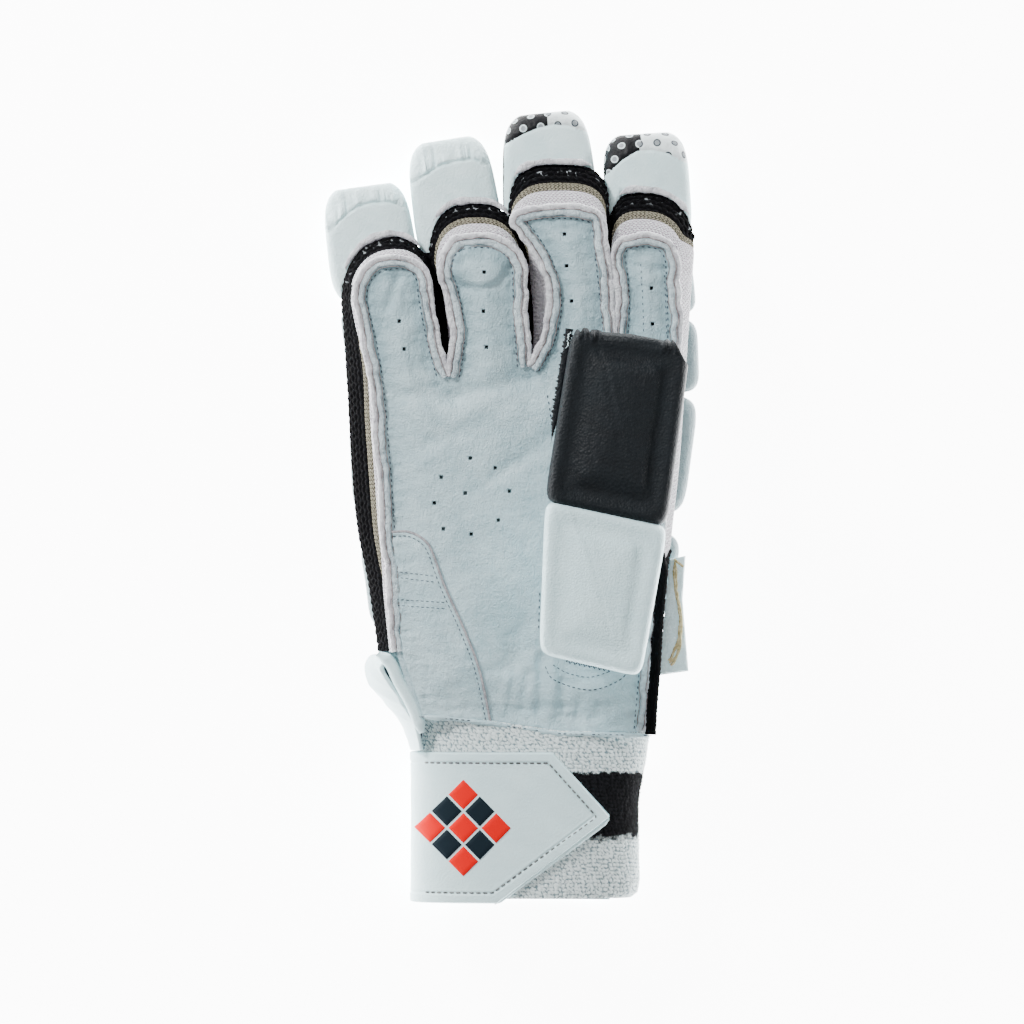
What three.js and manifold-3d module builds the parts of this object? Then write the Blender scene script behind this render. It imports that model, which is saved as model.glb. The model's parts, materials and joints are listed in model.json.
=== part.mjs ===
// A right-hand cricket batting glove, lying on its back with the palm up.
// Millimetres. +X is across the hand towards the thumb, +Y points to the fingertips, +Z is up.
// The padded rolls of the back of the hand lie at the bottom, the finger spaces above them are
// walled by gusset bands, the palm leather closes the top, and the thumb lies over the palm.
import * as THREE from 'three';
import { mergeVertices } from 'three/addons/utils/BufferGeometryUtils.js';
import Module from 'manifold-3d';

const wasm = await Module();
wasm.setup();

// Overall size
const GLOVE_LENGTH = 291.5;
const GLOVE_WIDTH = 137.6;

// Gap between pieces that touch
const CLEARANCE = 0.3;

// Back of the hand
const ROLL_HEIGHT = 17.3;
const TIP_PAD_HEIGHT = 22.5;
const SHELL_WALL = 1.8;

// Gussets round the fingers
const GUSSET_RISE = 15.6;
const BAND_WALL = 1.6;
const FORK_GAP = 1;

// Palm
const LEATHER_WALL = 1.3;
const PALM_CROWN = 2.4;
const CROWN_MARGIN = 15;
const VENT_DIAMETER = 1.6;
const PATCH_WALL = 1.2;

// Thumb
const SLEEVE_HEIGHT = 16;
const SLEEVE_WALL = 1.6;
const THUMB_PAD_HEIGHT = 14;
const THUMB_HOLE_WIDTH = 24;
const THUMB_HOLE_LENGTH = 32;

// Wrist
const CUFF_WIDTH = 84;
const CUFF_WALL = 2.6;
const CUFF_STEP = 1.2;
const CUFF_SEAM = 0.6;
const STRAP_WALL = 1.7;
const LOOP_WALL = 1.6;
const LOOP_BASE = 0.6;

// Mesh fineness
const PALM_CELL = 9;
const LEG_STEPS = 5;
const CAP_STEPS = 6;
const ROLL_SIDES = 16;
const TIP_SIDES = 26;
const SLEEVE_SIDES = 24;
const THUMB_HOLE_SIDES = 20;
const VENT_SIDES = 6;
const CUFF_SIDES = 28;
const STRAP_UNDER_STEPS = 16;
const STRAP_OVER_STEPS = 10;
const LOOP_STEPS = 14;

// Heights that follow from the sizes above
const SHELL_BOTTOM = ROLL_HEIGHT + CLEARANCE;
const SHELL_TOP = SHELL_BOTTOM + SHELL_WALL;
const GUSSET_BOTTOM = SHELL_TOP + CLEARANCE;
const GUSSET_TOP = GUSSET_BOTTOM + GUSSET_RISE;
const PALM_BOTTOM = GUSSET_TOP + CLEARANCE;
const PALM_TOP = PALM_BOTTOM + LEATHER_WALL;
const SLEEVE_BOTTOM = PALM_TOP + PALM_CROWN + CLEARANCE;
const SLEEVE_TOP = SLEEVE_BOTTOM + SLEEVE_HEIGHT;
const THUMB_PAD_BOTTOM = SLEEVE_TOP + CLEARANCE;
const CUFF_BOTTOM = STRAP_WALL + CLEARANCE;
const CUFF_TOP = PALM_TOP + CUFF_STEP;

// Places in the plan are shares: x of half the glove's width, y of half its length.
const at = (x, y) => new THREE.Vector2(x * GLOVE_WIDTH / 2, y * GLOVE_LENGTH / 2);
const across = (share) => share * GLOVE_WIDTH / 2;
const along = (share) => share * GLOVE_LENGTH / 2;

// Where neighbouring fingers fork: little and ring, ring and middle, middle and index.
const FORKS = [at(-0.339, 0.327), at(0.088, 0.352), at(0.552, 0.407)];

// The outline of each finger where its gusset starts on the back, and where it meets the leather.
// crown: the tip. left, right: how far the cap reaches sideways. drop: how far down it gets there.
// square: how square the cap is. bow: how far a leg bends to the right on its way to the fork.
const OUTER_CAPS = {
  little: {
    crown: at(-0.637, 0.683), left: 0.272, leftDrop: 0.168, right: 0.203, rightDrop: 0.138,
    square: 2.2, bowLeft: 0, bowRight: 0.01,
  },
  ring: {
    crown: at(-0.200, 0.769), left: 0.235, leftDrop: 0.126, right: 0.224, rightDrop: 0.136,
    square: 2.5, bowLeft: 0.02, bowRight: 0.01,
  },
  middle: {
    crown: at(0.243, 0.867), left: 0.245, leftDrop: 0.108, right: 0.261, rightDrop: 0.095,
    square: 3, bowLeft: 0.035, bowRight: 0,
  },
  index: {
    crown: at(0.680, 0.796), left: 0.144, leftDrop: 0.080, right: 0.293, rightDrop: 0.156,
    square: 2.5, bowLeft: 0, bowRight: 0,
  },
};
const LEATHER_CAPS = {
  little: {
    crown: at(-0.605, 0.623), left: 0.219, leftDrop: 0.108, right: 0.155, rightDrop: 0.083,
    square: 2.4, bowLeft: 0, bowRight: -0.01,
  },
  ring: {
    crown: at(-0.179, 0.676), left: 0.192, leftDrop: 0.088, right: 0.235, rightDrop: 0.113,
    square: 2.6, bowLeft: 0.045, bowRight: -0.005,
  },
  middle: {
    crown: at(0.253, 0.749), left: 0.235, leftDrop: 0.035, right: 0.229, rightDrop: 0.055,
    square: 3, bowLeft: 0.09, bowRight: 0,
  },
  index: {
    crown: at(0.696, 0.678), left: 0.144, leftDrop: 0.053, right: 0.176, rightDrop: 0.088,
    square: 2.6, bowLeft: 0.02, bowRight: 0,
  },
};

// The two sides of the hand below the little finger and the index finger, from the wrist up.
const ULNAR_SIDE = {
  outer: [
    at(-0.712, -0.364), at(-0.771, -0.183), at(-0.824, -0.058), at(-0.856, 0.093), at(-0.880, 0.300),
  ],
  leather: [
    at(-0.616, -0.364), at(-0.648, -0.183), at(-0.675, -0.058), at(-0.696, 0.093), at(-0.745, 0.340),
  ],
};
const RADIAL_SIDE = {
  outer: [
    at(0.744, -0.573), at(0.787, -0.359), at(0.824, -0.183), at(0.861, -0.033), at(0.899, 0.143),
    at(0.940, 0.430),
  ],
  leather: [
    at(0.701, -0.565), at(0.739, -0.359), at(0.771, -0.183), at(0.797, -0.033), at(0.835, 0.143),
    at(0.880, 0.420),
  ],
};

// The seam of leather and cuff, from the ulnar side to the thumb side, and the slope above it.
const WRIST_SEAM = [at(-0.493, -0.525), at(-0.227, -0.535), at(0.253, -0.568), at(0.744, -0.573)];
const WRIST_CORNER = at(-0.552, -0.460);

// How the gusset's height is shared: black mesh up to the first, khaki to the second, then white.
const BLACK_SHARE = 0.42;
const KHAKI_SHARE = 0.60;

// Stations down each finger: the padded tip starts at the first and ends at the second, the
// middle roll ends at the third, the base roll at the fourth and the knuckle pad at the fifth.
// half: half the width there. lean: degrees that the cross line turns from straight across.
const STATIONS = {
  little: [
    { x: -0.787, y: 0.807, half: 0.208, lean: 8 },
    { x: -0.701, y: 0.518, half: 0.229, lean: 8 },
    { x: -0.664, y: 0.394, half: 0.240, lean: 6 },
    { x: -0.621, y: 0.269, half: 0.262, lean: 4 },
    { x: -0.627, y: -0.035, half: 0.229, lean: 0 },
  ],
  ring: [
    { x: -0.344, y: 0.925, half: 0.208, lean: 9 },
    { x: -0.243, y: 0.611, half: 0.232, lean: 8 },
    { x: -0.184, y: 0.445, half: 0.219, lean: 6 },
    { x: -0.125, y: 0.269, half: 0.195, lean: 4 },
    { x: -0.168, y: -0.035, half: 0.219, lean: 0 },
  ],
  middle: [
    { x: 0.179, y: 0.995, half: 0.213, lean: 6 },
    { x: 0.248, y: 0.683, half: 0.237, lean: 6 },
    { x: 0.296, y: 0.495, half: 0.216, lean: 5 },
    { x: 0.323, y: 0.294, half: 0.216, lean: 3 },
    { x: 0.264, y: -0.030, half: 0.200, lean: 0 },
  ],
  index: [
    { x: 0.701, y: 0.942, half: 0.219, lean: 4 },
    { x: 0.744, y: 0.646, half: 0.219, lean: 3 },
    { x: 0.765, y: 0.482, half: 0.219, lean: 1 },
    { x: 0.776, y: 0.307, half: 0.213, lean: 0 },
    { x: 0.685, y: -0.023, half: 0.203, lean: -4 },
  ],
};
const HAND_BACK = [
  { x: 0.040, y: -0.050, half: 0.864, lean: 0 },
  { x: 0.019, y: -0.334, half: 0.779, lean: 0 },
];
const WRIST_BACK = [
  { x: 0.040, y: -0.347, half: 0.736, lean: 0 },
  { x: 0.051, y: -0.515, half: 0.600, lean: 0 },
];

// The thumb, from its tip to its root. The sleeve runs under both pads.
const THUMB_SLEEVE = [
  { x: 0.625, y: 0.392, half: 0.225, lean: -12 },
  { x: 0.499, y: -0.015, half: 0.245, lean: -11 },
  { x: 0.424, y: -0.352, half: 0.225, lean: -8 },
];
const THUMB_BLACK = [
  { x: 0.624, y: 0.425, half: 0.312, lean: -13 },
  { x: 0.493, y: -0.016, half: 0.330, lean: -12 },
];
const THUMB_WHITE = [
  { x: 0.501, y: -0.018, half: 0.332, lean: -12 },
  { x: 0.413, y: -0.392, half: 0.274, lean: -13 },
];
const THUMB_HOLE = at(0.430, -0.215);

// How square the plan outline of each kind of pad is, from 2 for an oval.
const TIP_SQUARE = 3.6;
const ROLL_SQUARE = 5;
const BACK_PAD_SQUARE = 6;
const SLEEVE_SQUARE = 4;
const THUMB_PAD_SQUARE = 6.5;

// Cross profiles of the padded pieces, from the bottom up.
// height: share of the pad's height. inset: share of it that the side lies further in.
const ROLL_PROFILE = [
  { height: 0, inset: 0.32 },
  { height: 0.12, inset: 0.13 },
  { height: 0.40, inset: 0.02 },
  { height: 0.85, inset: 0.03 },
  { height: 1, inset: 0.18 },
];
const TIP_PROFILE = [
  { height: 0, inset: 0.36 },
  { height: 0.12, inset: 0.16 },
  { height: 0.45, inset: 0 },
  { height: 0.80, inset: 0.03 },
  { height: 1, inset: 0.16 },
];
const THUMB_PROFILE = [
  { height: 0, inset: 0.10 },
  { height: 0.20, inset: 0 },
  { height: 0.50, inset: 0.08 },
  { height: 0.62, inset: 0.34 },
  { height: 0.70, inset: 0.52 },
  { height: 0.96, inset: 0.72 },
  { height: 1, inset: 0.90 },
];
const SLEEVE_PROFILE = [
  { height: 0, inset: 0.20 },
  { height: 0.20, inset: 0.03 },
  { height: 0.55, inset: 0 },
  { height: 0.85, inset: 0.12 },
  { height: 1, inset: 0.34 },
];

// Vent holes through the leather: nine in the palm, then those of the fingers.
const VENTS = [
  at(-0.221, 0.123), at(-0.088, 0.098), at(-0.376, 0.075), at(-0.248, 0.035), at(-0.013, 0.040),
  at(-0.413, 0.010), at(-0.072, -0.033), at(-0.365, -0.055), at(-0.216, -0.068),
  at(0.280, 0.686), at(0.291, 0.606), at(0.317, 0.518),
  at(-0.147, 0.590), at(-0.152, 0.492), at(-0.136, 0.402),
  at(-0.600, 0.467), at(-0.573, 0.397),
  at(0.744, 0.550), at(0.749, 0.460),
];

// Creases in the palm leather. depth: share of the crown. width: millimetres to each side.
const CREASES = [
  { from: at(-0.66, 0.285), to: at(0.10, 0.325), depth: 0.55, width: 5 },
  { from: at(-0.07, 0.080), to: at(0.25, 0.190), depth: 0.60, width: 5 },
  { from: at(0.14, -0.560), to: at(0.16, -0.380), depth: 0.60, width: 5 },
  { from: at(-0.05, -0.560), to: at(0.02, -0.400), depth: 0.40, width: 6 },
];

// The patch on the heel of the hand.
const PATCH = [
  at(-0.642, -0.063), at(-0.547, -0.063), at(-0.467, -0.083), at(-0.424, -0.113), at(-0.360, -0.196),
  at(-0.253, -0.309), at(-0.173, -0.410), at(-0.120, -0.520), at(-0.472, -0.515), at(-0.590, -0.364),
  at(-0.622, -0.183),
];

// The leather loop beside the wrist, lower edge and upper edge, from the strap up.
const LOOP_LOWER = [
  at(-0.555, -0.600), at(-0.600, -0.545), at(-0.685, -0.492), at(-0.765, -0.450), at(-0.792, -0.412),
  at(-0.765, -0.378), at(-0.700, -0.368),
];
const LOOP_UPPER = [
  at(-0.525, -0.600), at(-0.551, -0.540), at(-0.612, -0.492), at(-0.660, -0.450), at(-0.690, -0.420),
  at(-0.698, -0.402), at(-0.680, -0.390),
];

// The leather flap at the thumb side. Its inner edge follows the shell.
const FLAP = [at(0.790, -0.138), at(0.931, -0.123), at(0.915, -0.234), at(0.947, -0.415), at(0.740, -0.425)];

// The cuff, from the seam down. half: share of half its width. y: share of the way down.
const CUFF_CENTRE = 0.094;
const CUFF_END = -0.985;
const CUFF_SQUARE = 2.5;
const CUFF_SECTIONS = [
  { way: 0, half: 1 },
  { way: 0.45, half: 0.97 },
  { way: 0.88, half: 0.965 },
  { way: 1, half: 0.90 },
];

// The strap: its upper and lower edges, the corners of its point, and where it starts underneath.
const STRAP_UPPER = -0.616;
const STRAP_LOWER = -0.997;
const STRAP_UPPER_CORNER = 0.216;
const STRAP_LOWER_CORNER = -0.077;
const STRAP_POINT = at(0.520, -0.779);
const STRAP_POINT_FLAT = 1.2;
const STRAP_START_ANGLE = -50;
const STRAP_OVER_ANGLE = -225;

// Colours as seen
const COLOURS = {
  palmLeather: 0xc0cbcf,
  tipLeather: 0xd4dcde,
  white: 0xdfe4e5,
  whiteKnit: 0xd2d6d7,
  khaki: 0x827d69,
  blackKnit: 0x17181c,
  thumbBlack: 0x262e31,
  thumbWhite: 0xc3ced0,
  strapLeather: 0xc6d2d2,
  cuffKnit: 0xbcc7c9,
};

const lerp = THREE.MathUtils.lerp;
const smooth = (value) => THREE.MathUtils.smoothstep(value, 0, 1);
const power = (value, exponent) => Math.sign(value) * Math.abs(value) ** exponent;

const glove = new THREE.Group();

function addPiece(name, geometry, colour, roughness) {
  const bare = geometry.clone();
  bare.deleteAttribute('normal');
  bare.deleteAttribute('uv');
  const merged = mergeVertices(bare, 1e-4);
  merged.computeVertexNormals();
  const material = new THREE.MeshStandardMaterial({ color: colour, roughness, metalness: 0 });
  const mesh = new THREE.Mesh(merged, material);
  mesh.name = name;
  glove.add(mesh);
}

function toManifold(geometry) {
  const bare = geometry.clone();
  bare.deleteAttribute('normal');
  bare.deleteAttribute('uv');
  const merged = mergeVertices(bare, 1e-4);
  return new wasm.Manifold(new wasm.Mesh({
    numProp: 3,
    vertProperties: new Float32Array(merged.attributes.position.array),
    triVerts: new Uint32Array(merged.index.array),
  }));
}

function toGeometry(solid) {
  const mesh = solid.getMesh();
  const geometry = new THREE.BufferGeometry();
  geometry.setAttribute('position', new THREE.BufferAttribute(new Float32Array(mesh.vertProperties), 3));
  geometry.setIndex(new THREE.BufferAttribute(new Uint32Array(mesh.triVerts), 1));
  return geometry;
}

// Six times the volume that the triangles enclose: negative if they face inwards.
function signedVolume(points, triangles) {
  const normal = new THREE.Vector3();
  let total = 0;
  for (let i = 0; i < triangles.length; i += 3) {
    normal.crossVectors(points[triangles[i + 1]], points[triangles[i + 2]]);
    total += points[triangles[i]].dot(normal);
  }
  return total;
}

// A closed body through rings of points. Its two ends are capped, or joined if it runs round.
function bodyFromRings(rings, runsRound = false) {
  const count = rings[0].length;
  const points = rings.flat();
  const triangles = [];
  const spans = runsRound ? rings.length : rings.length - 1;
  for (let r = 0; r < spans; r += 1) {
    const next = (r + 1) % rings.length;
    for (let i = 0; i < count; i += 1) {
      const j = (i + 1) % count;
      const a = r * count + i;
      const b = r * count + j;
      const c = next * count + j;
      const d = next * count + i;
      triangles.push(a, b, c, a, c, d);
    }
  }
  if (!runsRound) {
    const last = (rings.length - 1) * count;
    for (let i = 1; i < count - 1; i += 1) {
      triangles.push(0, i + 1, i);
      triangles.push(last, last + i, last + i + 1);
    }
  }
  if (signedVolume(points, triangles) < 0) {
    triangles.reverse();
  }
  const geometry = new THREE.BufferGeometry().setFromPoints(points);
  geometry.setIndex(triangles);
  return geometry;
}

// The plan outline of a pad through its stations: a squared oval, drawn in by an inset.
function padOutline(stations, square, sides, inset) {
  const centres = stations.map((s) => at(s.x, s.y));
  const crossLines = stations.map((s) => {
    const lean = THREE.MathUtils.degToRad(s.lean);
    return new THREE.Vector2(Math.cos(lean), Math.sin(lean)).multiplyScalar(across(s.half));
  });
  const spans = stations.length - 1;
  const halfLength = centres[0].distanceTo(centres[spans]) / 2;
  const points = [];
  for (let i = 0; i < sides; i += 1) {
    const turn = (i + 0.5) / sides * 2 * Math.PI;
    const v = power(Math.sin(turn), 2 / square) * (1 - inset / halfLength);
    const place = Math.min((1 - v) / 2 * spans, spans - 1e-9);
    const span = Math.floor(place);
    const centre = centres[span].clone().lerp(centres[span + 1], place - span);
    const crossLine = crossLines[span].clone().lerp(crossLines[span + 1], place - span);
    const u = power(Math.cos(turn), 2 / square) * (1 - inset / crossLine.length());
    points.push(centre.addScaledVector(crossLine, u));
  }
  return points;
}

// A padded piece: its outline at each height of a profile.
function pad(stations, { profile, bottom, height, square, sides, draw = 0 }) {
  const rings = profile.map((row) => {
    const outline = padOutline(stations, square, sides, row.inset * height + draw);
    return outline.map((p) => new THREE.Vector3(p.x, p.y, bottom + row.height * height));
  });
  return bodyFromRings(rings);
}

// Stations drawn towards each other, so that a pad stays clear of the next one.
function between(first, second) {
  const gap = CLEARANCE / along(1);
  return [{ ...first, y: first.y - gap }, { ...second, y: second.y + gap }];
}

function legPoints(start, end, bow, steps) {
  const points = [];
  for (let i = 0; i < steps; i += 1) {
    const way = i / steps;
    const point = start.clone().lerp(end, way);
    point.x += across(bow) * 4 * way * (1 - way);
    points.push(point);
  }
  return points;
}

// The cap of a finger, from its left shoulder over the crown to the right one.
function capPoints(cap) {
  const points = [];
  for (let i = 0; i <= 2 * CAP_STEPS; i += 1) {
    const turn = i / (2 * CAP_STEPS) * Math.PI;
    const onLeft = i <= CAP_STEPS;
    const reach = across(onLeft ? cap.left : cap.right);
    const drop = along(onLeft ? cap.leftDrop : cap.rightDrop);
    const sideways = -power(Math.cos(turn), 2 / cap.square) * reach;
    const down = drop * (1 - Math.sin(turn) ** (2 / cap.square));
    points.push(new THREE.Vector2(cap.crown.x + sideways, cap.crown.y - down));
  }
  return points;
}

const FINGERS = ['little', 'ring', 'middle', 'index'];

// One edge of a finger's gusset: up its left side, round the cap and down its right side.
function edgePath(finger, level) {
  const cap = (level === 'outer' ? OUTER_CAPS : LEATHER_CAPS)[finger];
  const order = FINGERS.indexOf(finger);
  const caps = capPoints(cap);
  const toRight = new THREE.Vector2(FORK_GAP / 2, 0);
  let left;
  if (order === 0) {
    left = new THREE.SplineCurve([...ULNAR_SIDE[level], caps[0]]).getPoints(2 * LEG_STEPS).slice(0, -1);
  } else {
    left = legPoints(FORKS[order - 1].clone().add(toRight), caps[0], cap.bowLeft, LEG_STEPS);
  }
  const lastCap = caps[caps.length - 1];
  let right;
  if (order === FINGERS.length - 1) {
    right = new THREE.SplineCurve([...RADIAL_SIDE[level], lastCap]).getPoints(2 * LEG_STEPS).slice(0, -1);
  } else {
    right = legPoints(FORKS[order].clone().sub(toRight), lastCap, cap.bowRight, LEG_STEPS);
  }
  return [...left, ...caps, ...right.reverse()];
}

// The gusset's edge at a share of its rise, which may differ from point to point.
function gussetPath(finger, shareAt) {
  const outer = edgePath(finger, 'outer');
  const leather = edgePath(finger, 'leather');
  return outer.map((point, i) => point.clone().lerp(leather[i], shareAt(i)));
}

// The path moved inwards, to the right of its direction.
function moveIn(path, distance) {
  return path.map((point, i) => {
    const before = path[Math.max(i - 1, 0)];
    const after = path[Math.min(i + 1, path.length - 1)];
    const direction = after.clone().sub(before).normalize();
    return new THREE.Vector2(point.x + direction.y * distance, point.y - direction.x * distance);
  });
}

// A wall that leans from a lower path to an upper one.
function slantedWall(lower, upper, lowerHeight, upperHeight, wall) {
  const lowerIn = moveIn(lower, wall);
  const upperIn = moveIn(upper, wall);
  const rings = lower.map((point, i) => [
    new THREE.Vector3(point.x, point.y, lowerHeight(i)),
    new THREE.Vector3(upper[i].x, upper[i].y, upperHeight(i)),
    new THREE.Vector3(upperIn[i].x, upperIn[i].y, upperHeight(i)),
    new THREE.Vector3(lowerIn[i].x, lowerIn[i].y, lowerHeight(i)),
  ]);
  return bodyFromRings(rings);
}

// A band of the gusset, between two shares of its rise, over a stretch of the finger's path.
function gussetBand(finger, fromShare, toShare, first, last) {
  const halfGap = CLEARANCE / 2 / GUSSET_RISE;
  const from = (i) => fromShare(i) + (fromShare(i) > 0 ? halfGap : 0);
  const to = (i) => toShare(i) - (toShare(i) < 1 ? halfGap : 0);
  const lower = gussetPath(finger, from).slice(first, last + 1);
  const upper = gussetPath(finger, to).slice(first, last + 1);
  const heightOf = (share) => GUSSET_BOTTOM + share * GUSSET_RISE;
  return slantedWall(lower, upper, (i) => heightOf(from(i + first)), (i) => heightOf(to(i + first)), BAND_WALL);
}

// The seam's y at any x, used by the leather, the shell and the cuff.
function seamAt(x) {
  const rows = WRIST_SEAM;
  if (x <= rows[0].x) {
    return rows[0].y;
  }
  for (let i = 1; i < rows.length; i += 1) {
    if (x <= rows[i].x) {
      const way = (x - rows[i - 1].x) / (rows[i].x - rows[i - 1].x);
      return lerp(rows[i - 1].y, rows[i].y, way);
    }
  }
  return rows[rows.length - 1].y;
}

// The outline of the whole hand at one level, clockwise from the ulnar side of the wrist.
function handOutline(level) {
  const points = FINGERS.flatMap((finger) => edgePath(finger, level));
  const end = points.pop();
  const seam = WRIST_SEAM.slice(0, -1).reverse();
  return [...points, new THREE.Vector2(end.x, seamAt(end.x)), ...seam, WRIST_CORNER];
}

// A flat-sided body over a plan outline.
function prism(outline, bottom, height, holes = []) {
  const shape = new THREE.Shape(outline);
  shape.holes = holes.map((hole) => new THREE.Path(hole));
  const geometry = new THREE.ExtrudeGeometry(shape, { depth: height, bevelEnabled: false });
  return geometry.translate(0, 0, bottom);
}

function ovalHole(centre, width, length, sides) {
  const points = [];
  for (let i = 0; i < sides; i += 1) {
    const turn = i / sides * 2 * Math.PI;
    const offset = new THREE.Vector2(Math.cos(turn) * width / 2, Math.sin(turn) * length / 2);
    points.push(offset.add(centre));
  }
  return points;
}

function distanceToSegment(point, from, to) {
  const line = to.clone().sub(from);
  const way = THREE.MathUtils.clamp(point.clone().sub(from).dot(line) / line.lengthSq(), 0, 1);
  return point.distanceTo(from.clone().addScaledVector(line, way));
}

const LEATHER_OUTLINE = handOutline('leather');

// How far the palm leather rises at a point: nothing at its edge, the full crown further in,
// and less along the creases.
function palmRise(x, y) {
  const point = new THREE.Vector2(x, y);
  const edge = LEATHER_OUTLINE.reduce((nearest, from, i) => {
    const to = LEATHER_OUTLINE[(i + 1) % LEATHER_OUTLINE.length];
    return Math.min(nearest, distanceToSegment(point, from, to));
  }, Infinity);
  const kept = CREASES.reduce((share, crease) => {
    const distance = distanceToSegment(point, crease.from, crease.to) / crease.width;
    return share * (1 - crease.depth * Math.exp(-(distance ** 2)));
  }, 1);
  return PALM_CROWN * smooth(edge / CROWN_MARGIN) * kept;
}

// A sheet of one thickness that follows the palm at a height above its bottom, over a rectangle
// of whole cells.
function palmSheet(box, lift, wall) {
  const first = box.min.clone().divideScalar(PALM_CELL).floor();
  const last = box.max.clone().divideScalar(PALM_CELL).ceil();
  const columns = last.x - first.x + 1;
  const rings = [];
  for (let row = first.y; row <= last.y; row += 1) {
    const lower = [];
    const upper = [];
    for (let column = 0; column < columns; column += 1) {
      const x = (first.x + column) * PALM_CELL;
      const y = row * PALM_CELL;
      const z = PALM_BOTTOM + palmRise(x, y) + lift;
      lower.push(new THREE.Vector3(x, y, z));
      upper.unshift(new THREE.Vector3(x, y, z + wall));
    }
    rings.push([...lower, ...upper]);
  }
  return bodyFromRings(rings);
}

function cutSheet(outline, lift, wall, holes) {
  const box = new THREE.Box2().setFromPoints(outline);
  const sheet = toManifold(palmSheet(box, lift, wall));
  const column = prism(outline, PALM_BOTTOM - PALM_CROWN, 3 * PALM_CROWN + lift + wall, holes);
  return toGeometry(sheet.intersect(toManifold(column)));
}

// The room that the shell and what stands on it need, with the clearance round it.
function shellRoom(bottom, height) {
  const outline = handOutline('outer');
  const grown = moveIn([...outline, outline[0]], -CLEARANCE).slice(0, -1);
  return toManifold(prism(grown, bottom, height));
}

// The back of the hand: a shell, and the padded rolls sewn under it.
function addBack() {
  addPiece('back_shell', prism(handOutline('outer'), SHELL_BOTTOM, SHELL_WALL), COLOURS.white, 0.7);
  const cutter = shellRoom(ROLL_HEIGHT, TIP_PAD_HEIGHT);
  for (const finger of FINGERS) {
    const stations = STATIONS[finger];
    const tip = pad(between(stations[0], stations[1]), {
      profile: TIP_PROFILE, bottom: 0, height: TIP_PAD_HEIGHT, square: TIP_SQUARE, sides: TIP_SIDES,
    });
    const tipPad = toGeometry(toManifold(tip).subtract(cutter));
    addPiece(`${finger}_tip_pad`, tipPad, COLOURS.tipLeather, 0.45);
    const rolls = ['middle_roll', 'base_roll', 'knuckle_pad'];
    rolls.forEach((roll, i) => {
      const shape = pad(between(stations[i + 1], stations[i + 2]), {
        profile: ROLL_PROFILE, bottom: 0, height: ROLL_HEIGHT, square: ROLL_SQUARE, sides: ROLL_SIDES,
      });
      addPiece(`${finger}_${roll}`, shape, COLOURS.white, 0.45);
    });
  }
  const flatPad = {
    profile: ROLL_PROFILE, bottom: 0, height: ROLL_HEIGHT, square: BACK_PAD_SQUARE, sides: TIP_SIDES,
  };
  addPiece('hand_back_pad', pad(between(...HAND_BACK), flatPad), COLOURS.white, 0.45);
  addPiece('wrist_back_pad', pad(between(...WRIST_BACK), flatPad), COLOURS.white, 0.45);
}

// The bands round each finger. Khaki runs round the ring and middle fingers, up the side of the
// hand to the little finger, and over the cap of the index finger. Black is wider where it ends.
function addGussets() {
  const capEnd = 2 * CAP_STEPS;
  const khakiSpans = {
    little: [0, 2 * LEG_STEPS - 1],
    ring: [0, LEG_STEPS + capEnd + LEG_STEPS],
    middle: [0, LEG_STEPS + capEnd + LEG_STEPS],
    index: [0, LEG_STEPS + capEnd + 1],
  };
  const zero = () => 0;
  const one = () => 1;
  const khakiTop = () => KHAKI_SHARE;
  const blackTopBesideKhaki = () => BLACK_SHARE;
  for (const finger of FINGERS) {
    const [first, last] = khakiSpans[finger];
    const end = edgePath(finger, 'outer').length - 1;
    const blackTop = (i) => (i >= first && i <= last ? BLACK_SHARE : KHAKI_SHARE);
    addPiece(`${finger}_black_band`, gussetBand(finger, zero, blackTop, 0, end), COLOURS.blackKnit, 0.9);
    const khaki = gussetBand(finger, blackTopBesideKhaki, khakiTop, first, last);
    addPiece(`${finger}_khaki_band`, khaki, COLOURS.khaki, 0.9);
    addPiece(`${finger}_white_band`, gussetBand(finger, khakiTop, one, 0, end), COLOURS.whiteKnit, 0.9);
  }
}

function addPalm() {
  const vents = VENTS.map((vent) => ovalHole(vent, VENT_DIAMETER, VENT_DIAMETER, VENT_SIDES));
  const thumbHole = ovalHole(THUMB_HOLE, THUMB_HOLE_WIDTH, THUMB_HOLE_LENGTH, THUMB_HOLE_SIDES);
  const palm = cutSheet(LEATHER_OUTLINE, 0, LEATHER_WALL, [...vents, thumbHole]);
  addPiece('palm_leather', palm, COLOURS.palmLeather, 0.6);
  const patch = cutSheet(PATCH, LEATHER_WALL + CLEARANCE, PATCH_WALL, []);
  addPiece('heel_patch', patch, COLOURS.palmLeather, 0.6);
}

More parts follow.
